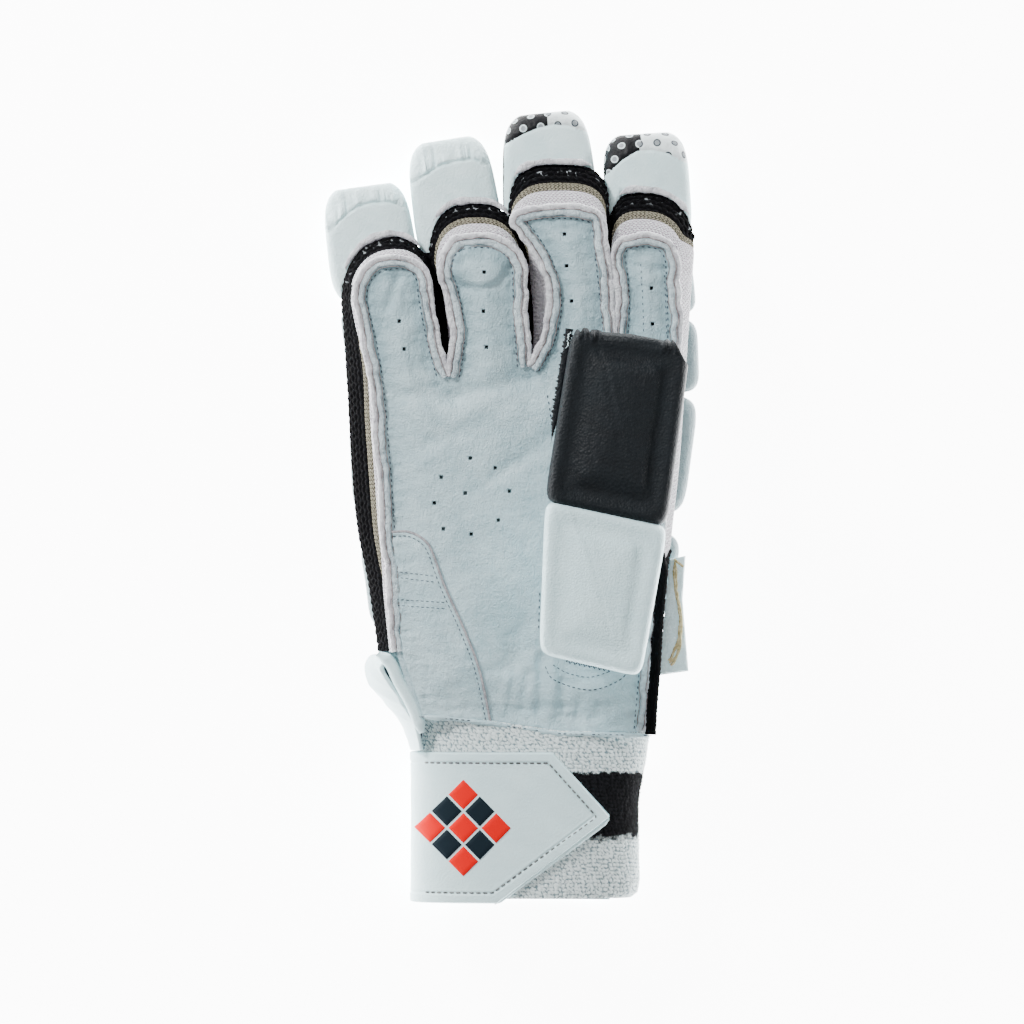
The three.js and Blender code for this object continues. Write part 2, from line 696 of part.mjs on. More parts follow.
// The thumb: a hollow sleeve that opens into the palm, and two moulded pads on it.
function addThumb() {
  const sleeve = { profile: SLEEVE_PROFILE, square: SLEEVE_SQUARE, sides: SLEEVE_SIDES };
  const outside = pad(THUMB_SLEEVE, { ...sleeve, bottom: SLEEVE_BOTTOM, height: SLEEVE_HEIGHT });
  const inside = pad(THUMB_SLEEVE, {
    ...sleeve, bottom: SLEEVE_BOTTOM + SLEEVE_WALL, height: SLEEVE_HEIGHT - 2 * SLEEVE_WALL, draw: SLEEVE_WALL,
  });
  const mouthOutline = ovalHole(THUMB_HOLE, THUMB_HOLE_WIDTH, THUMB_HOLE_LENGTH, THUMB_HOLE_SIDES);
  const mouth = prism(mouthOutline, PALM_TOP, SLEEVE_HEIGHT / 2);
  const hollow = toManifold(outside).subtract(toManifold(inside)).subtract(toManifold(mouth));
  addPiece('thumb_sleeve', toGeometry(hollow), COLOURS.palmLeather, 0.6);
  const moulded = {
    profile: THUMB_PROFILE,
    bottom: THUMB_PAD_BOTTOM,
    height: THUMB_PAD_HEIGHT,
    square: THUMB_PAD_SQUARE,
    sides: TIP_SIDES,
  };
  addPiece('thumb_black_pad', pad(between(...THUMB_BLACK), moulded), COLOURS.thumbBlack, 0.45);
  addPiece('thumb_white_pad', pad(between(...THUMB_WHITE), moulded), COLOURS.thumbWhite, 0.45);
}

// A point of the cuff's oval section, grown by a distance. half is the oval's half width.
function cuffPoint(turn, half, grow) {
  const halfHeight = (CUFF_TOP - CUFF_BOTTOM) / 2;
  return {
    x: across(CUFF_CENTRE) + power(Math.cos(turn), 2 / CUFF_SQUARE) * (half + grow),
    z: CUFF_BOTTOM + halfHeight + power(Math.sin(turn), 2 / CUFF_SQUARE) * (halfHeight + grow),
  };
}

function addCuff() {
  const rings = [];
  for (let i = 0; i < CUFF_SIDES; i += 1) {
    const turn = i / CUFF_SIDES * 2 * Math.PI;
    const top = seamAt(cuffPoint(turn, CUFF_WIDTH / 2, 0).x) - CUFF_SEAM;
    const wallLine = (grow) => CUFF_SECTIONS.map((row) => {
      const point = cuffPoint(turn, CUFF_WIDTH / 2 * row.half, grow);
      return new THREE.Vector3(point.x, lerp(top, along(CUFF_END), row.way), point.z);
    });
    rings.push([...wallLine(0), ...wallLine(-CUFF_WALL).reverse()]);
  }
  addPiece('cuff_knit', bodyFromRings(rings, true), COLOURS.cuffKnit, 0.95);
}

// The strap runs from under the cuff round its ulnar side and over the top to its point.
function addStrap() {
  const half = CUFF_WIDTH / 2;
  const startTurn = THREE.MathUtils.degToRad(STRAP_START_ANGLE);
  const endTurn = THREE.MathUtils.degToRad(STRAP_OVER_ANGLE);
  const sections = [];
  for (let i = 0; i <= STRAP_UNDER_STEPS; i += 1) {
    const turn = lerp(startTurn, endTurn, i / STRAP_UNDER_STEPS);
    sections.push([cuffPoint(turn, half, CLEARANCE), cuffPoint(turn, half, CLEARANCE + STRAP_WALL)]);
  }
  const overStart = sections[STRAP_UNDER_STEPS][0].x;
  for (let i = 1; i <= STRAP_OVER_STEPS; i += 1) {
    const x = lerp(overStart, STRAP_POINT.x, i / STRAP_OVER_STEPS);
    const heights = [CLEARANCE, CLEARANCE + STRAP_WALL].map((grow) => {
      const reach = Math.abs((x - across(CUFF_CENTRE)) / (half + grow)) ** CUFF_SQUARE;
      const halfHeight = (CUFF_TOP - CUFF_BOTTOM) / 2;
      return { x, z: CUFF_BOTTOM + halfHeight + (halfHeight + grow) * (1 - reach) ** (1 / CUFF_SQUARE) };
    });
    sections.push(heights);
  }
  const edge = (x, corner, straight, towards) => {
    const way = THREE.MathUtils.clamp((x - across(corner)) / (STRAP_POINT.x - across(corner)), 0, 1);
    return lerp(along(straight), towards, way);
  };
  const rings = sections.map(([inner, outer], i) => {
    const x = i > STRAP_UNDER_STEPS ? inner.x : -Infinity;
    const upper = edge(x, STRAP_UPPER_CORNER, STRAP_UPPER, STRAP_POINT.y + STRAP_POINT_FLAT / 2);
    const lower = edge(x, STRAP_LOWER_CORNER, STRAP_LOWER, STRAP_POINT.y - STRAP_POINT_FLAT / 2);
    return [
      new THREE.Vector3(inner.x, lower, inner.z),
      new THREE.Vector3(inner.x, upper, inner.z),
      new THREE.Vector3(outer.x, upper, outer.z),
      new THREE.Vector3(outer.x, lower, outer.z),
    ];
  });
  addPiece('wrist_strap', bodyFromRings(rings), COLOURS.strapLeather, 0.5);
}

function addWristLeather() {
  const base = GUSSET_BOTTOM + LOOP_BASE;
  const top = GUSSET_TOP;
  const lower = new THREE.SplineCurve(LOOP_LOWER).getPoints(LOOP_STEPS);
  const upper = new THREE.SplineCurve(LOOP_UPPER).getPoints(LOOP_STEPS);
  addPiece('wrist_loop', slantedWall(lower, upper, () => base, () => top, LOOP_WALL), COLOURS.strapLeather, 0.5);
  const flap = toManifold(prism(FLAP, SHELL_BOTTOM, LEATHER_WALL));
  const flapRoom = shellRoom(SHELL_BOTTOM - LEATHER_WALL, SHELL_WALL + 2 * LEATHER_WALL);
  addPiece('side_flap', toGeometry(flap.subtract(flapRoom)), COLOURS.palmLeather, 0.6);
}

addBack();
addGussets();
addPalm();
addThumb();
addCuff();
addStrap();
addWristLeather();

// The origin is the middle of the bottom of the glove's box.
const bounds = new THREE.Box3().setFromObject(glove);
const middle = bounds.getCenter(new THREE.Vector3());
glove.position.set(-middle.x, -middle.y, -bounds.min.z);
glove.updateMatrixWorld(true);

export default glove;
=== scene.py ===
# %% [markdown]
# # A cricket batting glove, palm up
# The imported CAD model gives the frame: where each piece of the glove lies and how big it is. This
# script dresses it. Each step below says what a piece is on the real glove, how it could be made,
# and why it is made the way it is here.

# %% Load the frame
import json
import bpy
import numpy as np
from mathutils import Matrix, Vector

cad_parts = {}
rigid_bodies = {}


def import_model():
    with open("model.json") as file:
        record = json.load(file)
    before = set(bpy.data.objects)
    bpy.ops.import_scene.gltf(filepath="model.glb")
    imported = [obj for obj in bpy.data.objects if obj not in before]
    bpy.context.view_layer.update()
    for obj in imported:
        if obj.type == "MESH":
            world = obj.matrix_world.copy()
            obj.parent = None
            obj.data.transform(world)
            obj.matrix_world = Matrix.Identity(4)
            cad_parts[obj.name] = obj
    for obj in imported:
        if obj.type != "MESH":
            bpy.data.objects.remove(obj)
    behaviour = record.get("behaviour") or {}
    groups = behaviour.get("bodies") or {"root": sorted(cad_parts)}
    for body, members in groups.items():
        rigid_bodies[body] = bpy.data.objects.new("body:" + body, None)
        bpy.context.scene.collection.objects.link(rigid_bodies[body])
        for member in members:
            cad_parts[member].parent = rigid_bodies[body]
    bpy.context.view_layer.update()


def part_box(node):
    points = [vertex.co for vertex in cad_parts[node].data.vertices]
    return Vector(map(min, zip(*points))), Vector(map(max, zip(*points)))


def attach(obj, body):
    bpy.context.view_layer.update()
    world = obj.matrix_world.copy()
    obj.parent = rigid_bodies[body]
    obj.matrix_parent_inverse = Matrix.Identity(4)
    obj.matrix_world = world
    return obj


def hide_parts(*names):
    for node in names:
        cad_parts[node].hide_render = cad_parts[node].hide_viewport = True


for thing in list(bpy.data.objects):
    bpy.data.objects.remove(thing)
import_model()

# %% [markdown]
# ## Places and heights
# A glove is cut from patterns, so every place in the plan is a share of half its width and half its
# length. The heights come from the CAD nodes: rolls at the bottom, a shell on them, gussets round
# the fingers, the palm leather on top and the thumb over it. Everything is worked out in
# millimetres and turned into metres once, when a mesh is made.

# %% Sizes of the plan and heights of the layers
MM = 0.001
HALF_WIDTH = 68.8
HALF_LENGTH = 145.75


def top_of(node):
    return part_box(node)[1][2] / MM


def bottom_of(node):
    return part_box(node)[0][2] / MM


# The shares at which the side flap ends on the right and the palm leather ends at the top
FLAP_REACH, LEATHER_REACH = 0.947, 0.749
shift = np.array([
    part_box("side_flap")[1][0] / MM - FLAP_REACH * HALF_WIDTH,
    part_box("palm_leather")[1][1] / MM - LEATHER_REACH * HALF_LENGTH,
])
ROLL_TOP = top_of("hand_back_pad")
SHELL_TOP = top_of("back_shell")
GUSSET_BOTTOM = bottom_of("ring_black_band")
GUSSET_TOP = top_of("ring_white_band")
PALM_BOTTOM = bottom_of("palm_leather")
SLEEVE_BOTTOM = bottom_of("thumb_sleeve")
SLEEVE_TOP = top_of("thumb_sleeve")
THUMB_PAD_BOTTOM = bottom_of("thumb_black_pad")
THUMB_PAD_TOP = top_of("thumb_black_pad")
CUFF_BOTTOM = bottom_of("cuff_knit")
CUFF_TOP = top_of("cuff_knit")
LEATHER_WALL = 1.2


def at(*shares):
    """Places in the plan: x is a share of half the glove's width, y of half its length."""
    return np.array(shares, float).reshape(-1, 2) * (HALF_WIDTH, HALF_LENGTH) + shift


def smooth(value):
    """A soft step from 0 to 1: t * t * (3 - 2 t)."""
    value = np.clip(value, 0, 1)
    return value * value * (3 - 2 * value)


def bump(distance, width):
    """A bell: exp(-(d / w) ** 2), one at no distance and falling off over the width."""
    return np.exp(-(distance / width) ** 2)


def ripple(x, seed, waves, longest):
    """A smooth, never repeating wobble between about -1 and 1: a sum of sines of seeded phase."""
    rng = np.random.default_rng(seed)
    total = np.zeros_like(x, float)
    for k in range(1, waves + 1):
        angle = 2 * np.pi * x * k / longest * rng.uniform(0.8, 1.25)
        total += np.sin(angle + rng.uniform(0, 6.3)) / k
    return total / 1.6


print("layers in mm", ROLL_TOP, SHELL_TOP, GUSSET_TOP, PALM_BOTTOM, THUMB_PAD_TOP, "shift", shift)

# %% [markdown]
# ## Turning arrays into meshes
# Every new piece is a surface worked out on a grid: an array of points with two directions. The
# grid's cells become four-sided faces. A direction may run round and close on itself, and open ends
# may be capped. The enclosed volume tells whether the faces point outwards.

# %% Mesh helpers
# Points nearer to each other than this, in mm, are one point
WELD_STEP = 2e-3


def grid_faces(rows, columns, wrap_rows=False, wrap_columns=False):
    """Four-sided faces between neighbouring points of a grid, closed round where it wraps."""
    i = np.arange(rows if wrap_rows else rows - 1)
    j = np.arange(columns if wrap_columns else columns - 1)
    i, j = np.meshgrid(i, j, indexing="ij")
    i, j = i.ravel(), j.ravel()
    i2, j2 = (i + 1) % rows, (j + 1) % columns
    return np.stack([i * columns + j, i2 * columns + j, i2 * columns + j2, i * columns + j2], axis=1)


def weld(points, faces, attributes):
    """Merges points that lie together, keeps each attribute's first value there, and drops the
    faces that this folds to nothing."""
    points = points.reshape(-1, 3)
    keys = np.round(points / WELD_STEP).astype(np.int64)
    _, first, inverse = np.unique(keys, axis=0, return_index=True, return_inverse=True)
    inverse = inverse.ravel()[faces]
    whole = np.all(inverse != np.roll(inverse, 1, 1), axis=1)
    whole &= (inverse[:, 0] != inverse[:, 2]) & (inverse[:, 1] != inverse[:, 3])
    folded = [list(dict.fromkeys(face)) for face in inverse[~whole].tolist()]
    merged = inverse[whole].tolist() + [corners for corners in folded if len(corners) > 2]
    kept = {key: np.asarray(value).ravel()[first] for key, value in (attributes or {}).items()}
    return points[first], merged, kept


def enclosed_volume(points, faces):
    """Six times the volume: the sum over fans of triangles of a . (b x c)."""
    total = 0.0
    for size in set(len(face) for face in faces):
        block = points[np.array([face for face in faces if len(face) == size])]
        for k in range(1, size - 1):
            total += np.einsum("ij,ij->", block[:, 0], np.cross(block[:, k], block[:, k + 1]))
    return total


def make_object(name, points, faces, uv=None, closed=True, attributes=None):
    """A mesh object in metres at the origin, with its faces outwards and its UV in millimetres."""
    points = np.asarray(points, float).reshape(-1, 3)
    faces = [list(face) for face in faces]
    if closed and enclosed_volume(points, faces) < 0:
        faces = [face[::-1] for face in faces]
    mesh = bpy.data.meshes.new(name)
    mesh.from_pydata((points * MM).tolist(), [], faces)
    if uv is not None:
        corner = np.empty(len(mesh.loops), np.int32)
        mesh.loops.foreach_get("vertex_index", corner)
        layer = mesh.uv_layers.new(name="UVMap")
        layer.data.foreach_set("uv", np.asarray(uv, np.float32).reshape(-1, 2)[corner].ravel())
    for key, values in (attributes or {}).items():
        layer = mesh.attributes.new(key, "FLOAT", "POINT")
        layer.data.foreach_set("value", np.asarray(values, np.float32).ravel())
    mesh.polygons.foreach_set("use_smooth", np.ones(len(mesh.polygons), bool))
    mesh.update()
    obj = bpy.data.objects.new(name, mesh)
    bpy.context.collection.objects.link(obj)
    return obj


def finish_piece(obj, material, replaces=()):
    """Gives a piece its finish, its body and the CAD nodes that it stands for."""
    obj.data.materials.append(material)
    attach(obj, "root")
    if replaces:
        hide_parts(*replaces)
    print(obj.name, len(obj.data.polygons), "faces")
    return obj


def normals_of(grid):
    """Unit normals of a grid: the cross product of its two directions of travel."""
    normal = np.cross(np.gradient(grid, axis=0), np.gradient(grid, axis=1))
    return normal / np.maximum(np.linalg.norm(normal, axis=-1, keepdims=True), 1e-9)


def path_length(path):
    """The distance travelled along a path at each of its points."""
    steps = np.linalg.norm(np.diff(path, axis=0), axis=1)
    return np.concatenate([[0], np.cumsum(steps)])


def resample(path, count):
    """The same path with its points evenly spaced."""
    path = np.asarray(path, float)
    travelled = path_length(path)
    even = np.linspace(0, travelled[-1], count)
    return np.stack([np.interp(even, travelled, path[:, k]) for k in range(path.shape[1])], axis=1)


def curve_through(points, count):
    """A smooth curve through a few points: a Catmull-Rom spline, evenly sampled."""
    p = np.asarray(points, float)
    p = np.vstack([2 * p[0] - p[1], p, 2 * p[-1] - p[-2]])
    t = np.linspace(0, len(p) - 3 - 1e-9, count * 4)
    k = t.astype(int)
    t = (t - k)[:, None]
    a, b, c, d = p[k], p[k + 1], p[k + 2], p[k + 3]
    bend = (2 * a - 5 * b + 4 * c - d) * t ** 2
    twist = (3 * b - a - 3 * c + d) * t ** 3
    return resample(0.5 * (2 * b + (c - a) * t + bend + twist), count)


def direction_of(path):
    """The unit direction of travel at each point of a path."""
    travel = np.gradient(path, axis=0)
    return travel / np.maximum(np.linalg.norm(travel, axis=1, keepdims=True), 1e-9)


def move_in(path, distance):
    """A plan path moved to the right of its direction of travel."""
    travel = direction_of(path)
    return path + np.stack([travel[:, 1], -travel[:, 0]], axis=1) * np.reshape(distance, (-1, 1))


def lift(path, height):
    """A plan path given a height."""
    return np.column_stack([path, np.broadcast_to(height, len(path))])


def tube(centre, side, up, width, height, sides):
    """A grid of points round a path: a flattened round section set by two directions."""
    turn = np.linspace(0, 2 * np.pi, sides, endpoint=False)
    w = np.reshape(width, (-1, 1, 1)) * np.cos(turn)[None, :, None]
    h = np.reshape(height, (-1, 1, 1)) * np.sin(turn)[None, :, None]
    return centre[:, None] + side[:, None] * w + up[:, None] * h


def closed_tube(grid):
    """The faces of a tube with both of its ends closed."""
    rows, columns = grid.shape[:2]
    faces = list(grid_faces(rows, columns, wrap_columns=True))
    return faces + [np.arange(columns)[::-1], (rows - 1) * columns + np.arange(columns)]


def flat_sides(path):
    """The directions across a plan path and straight up from it."""
    travel = direction_of(path)
    side = np.column_stack([travel[:, 1], -travel[:, 0], np.zeros(len(path))])
    return side, np.broadcast_to([0, 0, 1.0], side.shape)


def flat_tube(path, height, half_width, half_height, sides):
    """The points and faces of a closed tube that follows a plan path at a height."""
    grid = tube(lift(path, height), *flat_sides(path), half_width, half_height, sides)
    return grid, closed_tube(grid)


def join(parts):
    """Several surfaces as one list of points and faces."""
    points, faces, start = [], [], 0
    for part_points, part_faces in parts:
        part_points = np.asarray(part_points).reshape(-1, 3)
        points.append(part_points)
        faces += [np.asarray(face) + start for face in part_faces]
        start += len(part_points)
    return np.vstack(points), faces


def finish_parts(name, parts, material):
    """Several surfaces made one piece that stands for no CAD node."""
    points, faces = join(parts)
    return finish_piece(make_object(name, points, faces), material)


# %% [markdown]
# ## Writing shader maths as expressions
# A material's pattern is arithmetic on coordinates. One small class wraps a socket so that the sum
# of two sockets is written as a sum in Python, and each operation adds its Math node. Other nodes
# come from one method.

# %% Socket wrapper and material builder


class Wire:
    """A number that flows from a socket, on which Python's operators add Math nodes."""

    def __init__(self, shader, socket):
        self.shader = shader
        self.socket = socket

    def maths(self, operation, *others):
        return self.shader.add("ShaderNodeMath", {"operation": operation}, [self, *others])

    def __add__(self, other):
        return self.maths("ADD", other)

    def __sub__(self, other):
        return self.maths("SUBTRACT", other)

    def __rsub__(self, other):
        return self.shader.add("ShaderNodeMath", {"operation": "SUBTRACT"}, [other, self])

    def __mul__(self, other):
        return self.maths("MULTIPLY", other)

    def __truediv__(self, other):
        return self.maths("DIVIDE", other)

    def __pow__(self, other):
        return self.maths("POWER", other)

    def __abs__(self):
        return self.maths("ABSOLUTE")

    def sine(self):
        return self.maths("SINE")

    def fraction(self):
        return self.maths("FRACT")

    def whole(self):
        return self.maths("FLOOR")

    def most(self, other):
        return self.maths("MAXIMUM", other)

    def between(self, low, high):
        """How far the value is from low to high, smoothly, kept from 0 to 1."""
        return self.shader.add("ShaderNodeMapRange", {"interpolation_type": "SMOOTHSTEP"},
                               {"Value": self, "From Min": low, "From Max": high})


class Shader:
    """A material whose surface is one Principled shader, and the nodes that feed it."""

    def __init__(self, name, roughness, **constants):
        self.material = bpy.data.materials.new(name)
        self.material.use_nodes = True
        self.tree = self.material.node_tree
        self.surface = self.tree.nodes["Principled BSDF"]
        self.surface.inputs["Roughness"].default_value = roughness
        for key, value in constants.items():
            self.surface.inputs[key.replace("_", " ")].default_value = value

    def add(self, kind, settings=None, inputs=(), output=0):
        """Adds a node, makes its settings, then gives its sockets values or links."""
        node = self.tree.nodes.new(kind)
        for key, value in (settings or {}).items():
            setattr(node, key, value)
        pairs = inputs.items() if isinstance(inputs, dict) else enumerate(inputs)
        for key, value in pairs:
            if isinstance(value, Wire):
                self.tree.links.new(value.socket, node.inputs[key])
            elif value is not None:
                node.inputs[key].default_value = value
        return Wire(self, node.outputs[output])

    def place(self):
        """Object coordinates, in metres."""
        return self.add("ShaderNodeTexCoord", output="Object")

    def parts(self, wire):
        """The three numbers of a vector."""
        node = self.tree.nodes.new("ShaderNodeSeparateXYZ")
        self.tree.links.new(wire.socket, node.inputs[0])
        return [Wire(self, node.outputs[k]) for k in range(3)]

    def attribute(self, name):
        """A number that each point of the mesh carries."""
        return self.add("ShaderNodeAttribute", {"attribute_name": name}, output="Fac")

    def noise(self, where, scale, detail, rough=0.55, stretch=None):
        """Cloudy noise between 0 and 1. scale: how many clouds to the metre."""
        if stretch is not None:
            where = self.add("ShaderNodeMapping", None, {"Vector": where, "Scale": stretch})
        return self.add("ShaderNodeTexNoise", None,
                        {"Vector": where, "Scale": scale, "Detail": detail, "Roughness": rough})

    def cells(self, where, scale):
        """The distance to the middle of the nearest of many random cells."""
        return self.add("ShaderNodeTexVoronoi", None, {"Vector": where, "Scale": scale}, output="Distance")

    def mix(self, share, first, second):
        """A colour between two colours."""
        return self.add("ShaderNodeMix", {"data_type": "RGBA"}, {0: share, 6: first, 7: second}, output=2)

    def feed(self, **wires):
        """Links wires to the surface's sockets."""
        for key, wire in wires.items():
            self.tree.links.new(wire.socket, self.surface.inputs[key.replace("_", " ")])

    def relief(self, *layers):
        """Bump nodes in a row, each a height and its depth in metres."""
        normal = None
        for height, depth in layers:
            inputs = {"Height": height, "Distance": depth, "Strength": 1.0}
            if normal is not None:
                inputs["Normal"] = normal
            normal = self.add("ShaderNodeBump", None, inputs)
        self.feed(Normal=normal)


def colour(red, green, blue):
    """A colour as seen, from 0 to 255, turned into the linear values that shaders use."""
    seen = np.array([red, green, blue]) / 255
    linear = np.where(seen <= 0.04045, seen / 12.92, ((seen + 0.055) / 1.055) ** 2.4)
    return (*linear.tolist(), 1.0)


print("helpers ready")

# %% [markdown]
# ## The pattern of the hand
# Two lines run round each finger: the outer one, where the gusset starts on the back of the hand,
# and the leather one, where it meets the palm. A finger's line goes up one leg, round a cap and
# down the other leg. The cap is a squared half oval: x = -cos(t) ** (2 / n), y = sin(t) ** (2 / n).
# The little finger's left leg and the index finger's right leg run on down the sides of the hand.

# %% Outlines of the fingers and the hand
FINGERS = ["little", "ring", "middle", "index"]
FORKS = at((-0.339, 0.327), (0.088, 0.352), (0.552, 0.407))
FORK_GAP = 1.0
# crown x, crown y, reach left, drop left, reach right, drop right, squareness, bow left, bow right
CAPS = {
    "outer": {
        "little": (-0.637, 0.683, 0.272, 0.168, 0.203, 0.138, 2.2, 0.0, 0.01),
        "ring": (-0.200, 0.769, 0.235, 0.126, 0.224, 0.136, 2.5, 0.02, 0.01),
        "middle": (0.243, 0.867, 0.245, 0.108, 0.261, 0.095, 3.0, 0.035, 0.0),
        "index": (0.680, 0.796, 0.144, 0.080, 0.293, 0.156, 2.5, 0.0, 0.0),
    },
    "leather": {
        "little": (-0.605, 0.623, 0.219, 0.108, 0.155, 0.083, 2.4, 0.0, -0.01),
        "ring": (-0.179, 0.676, 0.192, 0.088, 0.235, 0.113, 2.6, 0.045, -0.005),
        "middle": (0.253, 0.749, 0.235, 0.035, 0.229, 0.055, 3.0, 0.155, 0.0),
        "index": (0.696, 0.678, 0.144, 0.053, 0.176, 0.088, 2.6, 0.02, 0.0),
    },
}
ULNAR_SIDE = {
    "outer": at((-0.712, -0.364), (-0.771, -0.183), (-0.824, -0.058), (-0.856, 0.093), (-0.880, 0.300)),
    "leather": at((-0.616, -0.364), (-0.648, -0.183), (-0.675, -0.058), (-0.696, 0.093), (-0.745, 0.340)),
}
RADIAL_SIDE = {
    "outer": at((0.744, -0.573), (0.787, -0.359), (0.824, -0.183), (0.861, -0.033), (0.899, 0.143),
                (0.940, 0.430)),
    "leather": at((0.701, -0.565), (0.739, -0.359), (0.771, -0.183), (0.797, -0.033), (0.835, 0.143),
                  (0.880, 0.420)),
}
WRIST_SEAM = at((-0.493, -0.525), (-0.227, -0.535), (0.253, -0.568), (0.744, -0.573))
WRIST_CORNER = at((-0.552, -0.460))
LEG_POINTS, CAP_POINTS = 90, 90
EDGE_STEP = 0.45


def power(value, exponent):
    """A power that keeps the sign."""
    return np.sign(value) * np.abs(value) ** exponent


def finger_cap(x, y, left, left_drop, right, right_drop, square):
    """The squared half oval over a fingertip, from its left end to its right end."""
    turn = np.linspace(0, np.pi, CAP_POINTS)
    reach = np.where(turn < np.pi / 2, left, right)
    drop = np.where(turn < np.pi / 2, left_drop, right_drop)
    cap = at(*np.stack([x - power(np.cos(turn), 2 / square) * reach,
                        y - drop * (1 - np.sin(turn) ** (2 / square))], axis=1))
    return resample(cap, CAP_POINTS)


def leg(fork, shoulder, bow):
    """A line from a fork up to a shoulder, bowed sideways by a share of half the width."""
    way = np.linspace(0, 1, LEG_POINTS)[:, None]
    line = fork * (1 - way) + shoulder * way
    return line + np.hstack([bow * HALF_WIDTH * 4 * way * (1 - way), 0 * way])


def finger_line(finger, level):
    """One line round a finger, with the same number of points for both levels."""
    *cap_sizes, bow_left, bow_right = CAPS[level][finger]
    cap = finger_cap(*cap_sizes)
    order = FINGERS.index(finger)
    if order == 0:
        up = curve_through(np.vstack([ULNAR_SIDE[level], cap[:1]]), LEG_POINTS)
    else:
        up = leg(FORKS[order - 1] + (FORK_GAP / 2, 0), cap[0], bow_left)
    if order == 3:
        down = curve_through(np.vstack([RADIAL_SIDE[level], cap[-1:]]), LEG_POINTS)
    else:
        down = leg(FORKS[order] - (FORK_GAP / 2, 0), cap[-1], bow_right)
    return np.vstack([up[:-1], cap, down[::-1][1:]])


def finger_edges(finger):
    """Both lines with matching points, evenly spaced, and the distance travelled along them."""
    outer, leather = finger_line(finger, "outer"), finger_line(finger, "leather")
    travelled = path_length((outer + leather) / 2)
    even = np.arange(0, travelled[-1], EDGE_STEP)
    both = [np.stack([np.interp(even, travelled, line[:, k]) for k in range(2)], axis=1)
            for line in (outer, leather)]
    place = np.interp(even, travelled, np.arange(len(outer)))
    return both[0], both[1], even, place


def hand_outline(level):
    """The whole hand: the four fingers' lines in a row and the seam at the wrist."""
    lines = np.vstack([finger_line(finger, level) for finger in FINGERS])
    return np.vstack([lines, WRIST_SEAM[::-1][1:], WRIST_CORNER])


def inside(points, outline):
    """Whether each point lies in an outline: a line to the right crosses it an odd number of times."""
    x, y = points[:, 0], points[:, 1]
    crossings = np.zeros(len(points), int)
    for a, b in zip(outline, np.roll(outline, -1, 0)):
        if a[1] == b[1]:
            continue
        spans = (a[1] > y) != (b[1] > y)
        crossings += spans & (x < a[0] + (y - a[1]) * (b[0] - a[0]) / (b[1] - a[1]))
    return crossings % 2 == 1


def nearest_on(points, line, closed=True):
    """The distance from each point to a line, and the nearest place on it."""
    best = np.full(len(points), np.inf)
    place = np.zeros((len(points), 2))
    ends = np.roll(line, -1, 0) if closed else line[1:]
    for a, b in zip(line, ends):
        span = b - a
        size = span @ span
        if size < 1e-12:
            continue
        way = np.clip((points - a) @ span / size, 0, 1)
        foot = a + way[:, None] * span
        distance = np.hypot(*(points - foot).T)
        nearer = distance < best
        best[nearer] = distance[nearer]
        place[nearer] = foot[nearer]
    return best, place


LEATHER_LINE = hand_outline("leather")
OUTER_LINE = hand_outline("outer")
print("outline points", len(LEATHER_LINE))

# %% [markdown]
# ## Leather cut to a pattern
# Leather pieces are cut from a sheet along a pattern line. Here a grid of small squares is laid
# over the pattern, the squares whose middle lies inside are kept, and the points on the rim move
# onto the line. A vent hole leaves out one square and pulls its corners to the hole's rim.

# %% Cut sheets


def cut_sheet(outline, cell, holes=(), hole_radius=0.0):
    """Plan points and faces of a sheet cut along an outline."""
    low, high = outline.min(0) - cell, outline.max(0) + cell
    columns, rows = (np.ceil((high - low) / cell).astype(int) + 1)
    x, y = np.meshgrid(low[0] + cell * np.arange(columns), low[1] + cell * np.arange(rows))
    points = np.stack([x.ravel(), y.ravel()], axis=1)
    faces = grid_faces(rows, columns)
    centres = points[faces].mean(1)
    kept = inside(centres, outline)
    cut_cells = [np.argmin(np.hypot(*(centres - hole).T)) for hole in holes]
    kept[cut_cells] = False
    used = np.bincount(faces[kept].ravel(), minlength=len(points))
    rim = (used > 0) & (used < 4)
    for hole, cut_cell in zip(holes, cut_cells):
        corners = faces[cut_cell]
        away = points[corners] - centres[cut_cell]
        points[corners] = hole + away / np.linalg.norm(away, axis=1, keepdims=True) * hole_radius
        rim[corners] = False
    points[rim] = nearest_on(points[rim], outline)[1]
    number = np.cumsum(used > 0) - 1
    return points[used > 0], number[faces[kept]][:, ::-1]


def leather_object(name, plan, faces, height, wall, attributes=None):
    """A cut sheet lifted to a height and given its thickness downwards."""
    obj = make_object(name, lift(plan, height), faces, plan, closed=False, attributes=attributes)
    thick = obj.modifiers.new("wall", "SOLIDIFY")
    thick.thickness = wall * MM
    thick.offset = -1
    return obj


# %% [markdown]
# ## The height of the palm leather
# The hide isn't flat: it crowns inside its edge, folds where the hand closes and puckers beside the
# seam. Sculpting could give that, but a function of the plan is easier to change and to use again:
# the patch and the stitches ask it how high the palm is. Each fold is a bell round a line.

# %% Height of the palm leather
VENTS = at((-0.221, 0.123), (-0.088, 0.098), (-0.376, 0.075), (-0.248, 0.035), (-0.013, 0.040),
           (-0.413, 0.010), (-0.072, -0.033), (-0.365, -0.055), (-0.216, -0.068),
           (0.280, 0.686), (0.291, 0.606), (0.317, 0.518),
           (-0.147, 0.590), (-0.152, 0.492), (-0.136, 0.402),
           (-0.600, 0.467), (-0.573, 0.397), (0.744, 0.550), (0.749, 0.460))
VENT_RADIUS = 0.95
PALM_CROWN = 2.4
CROWN_MARGIN = 15
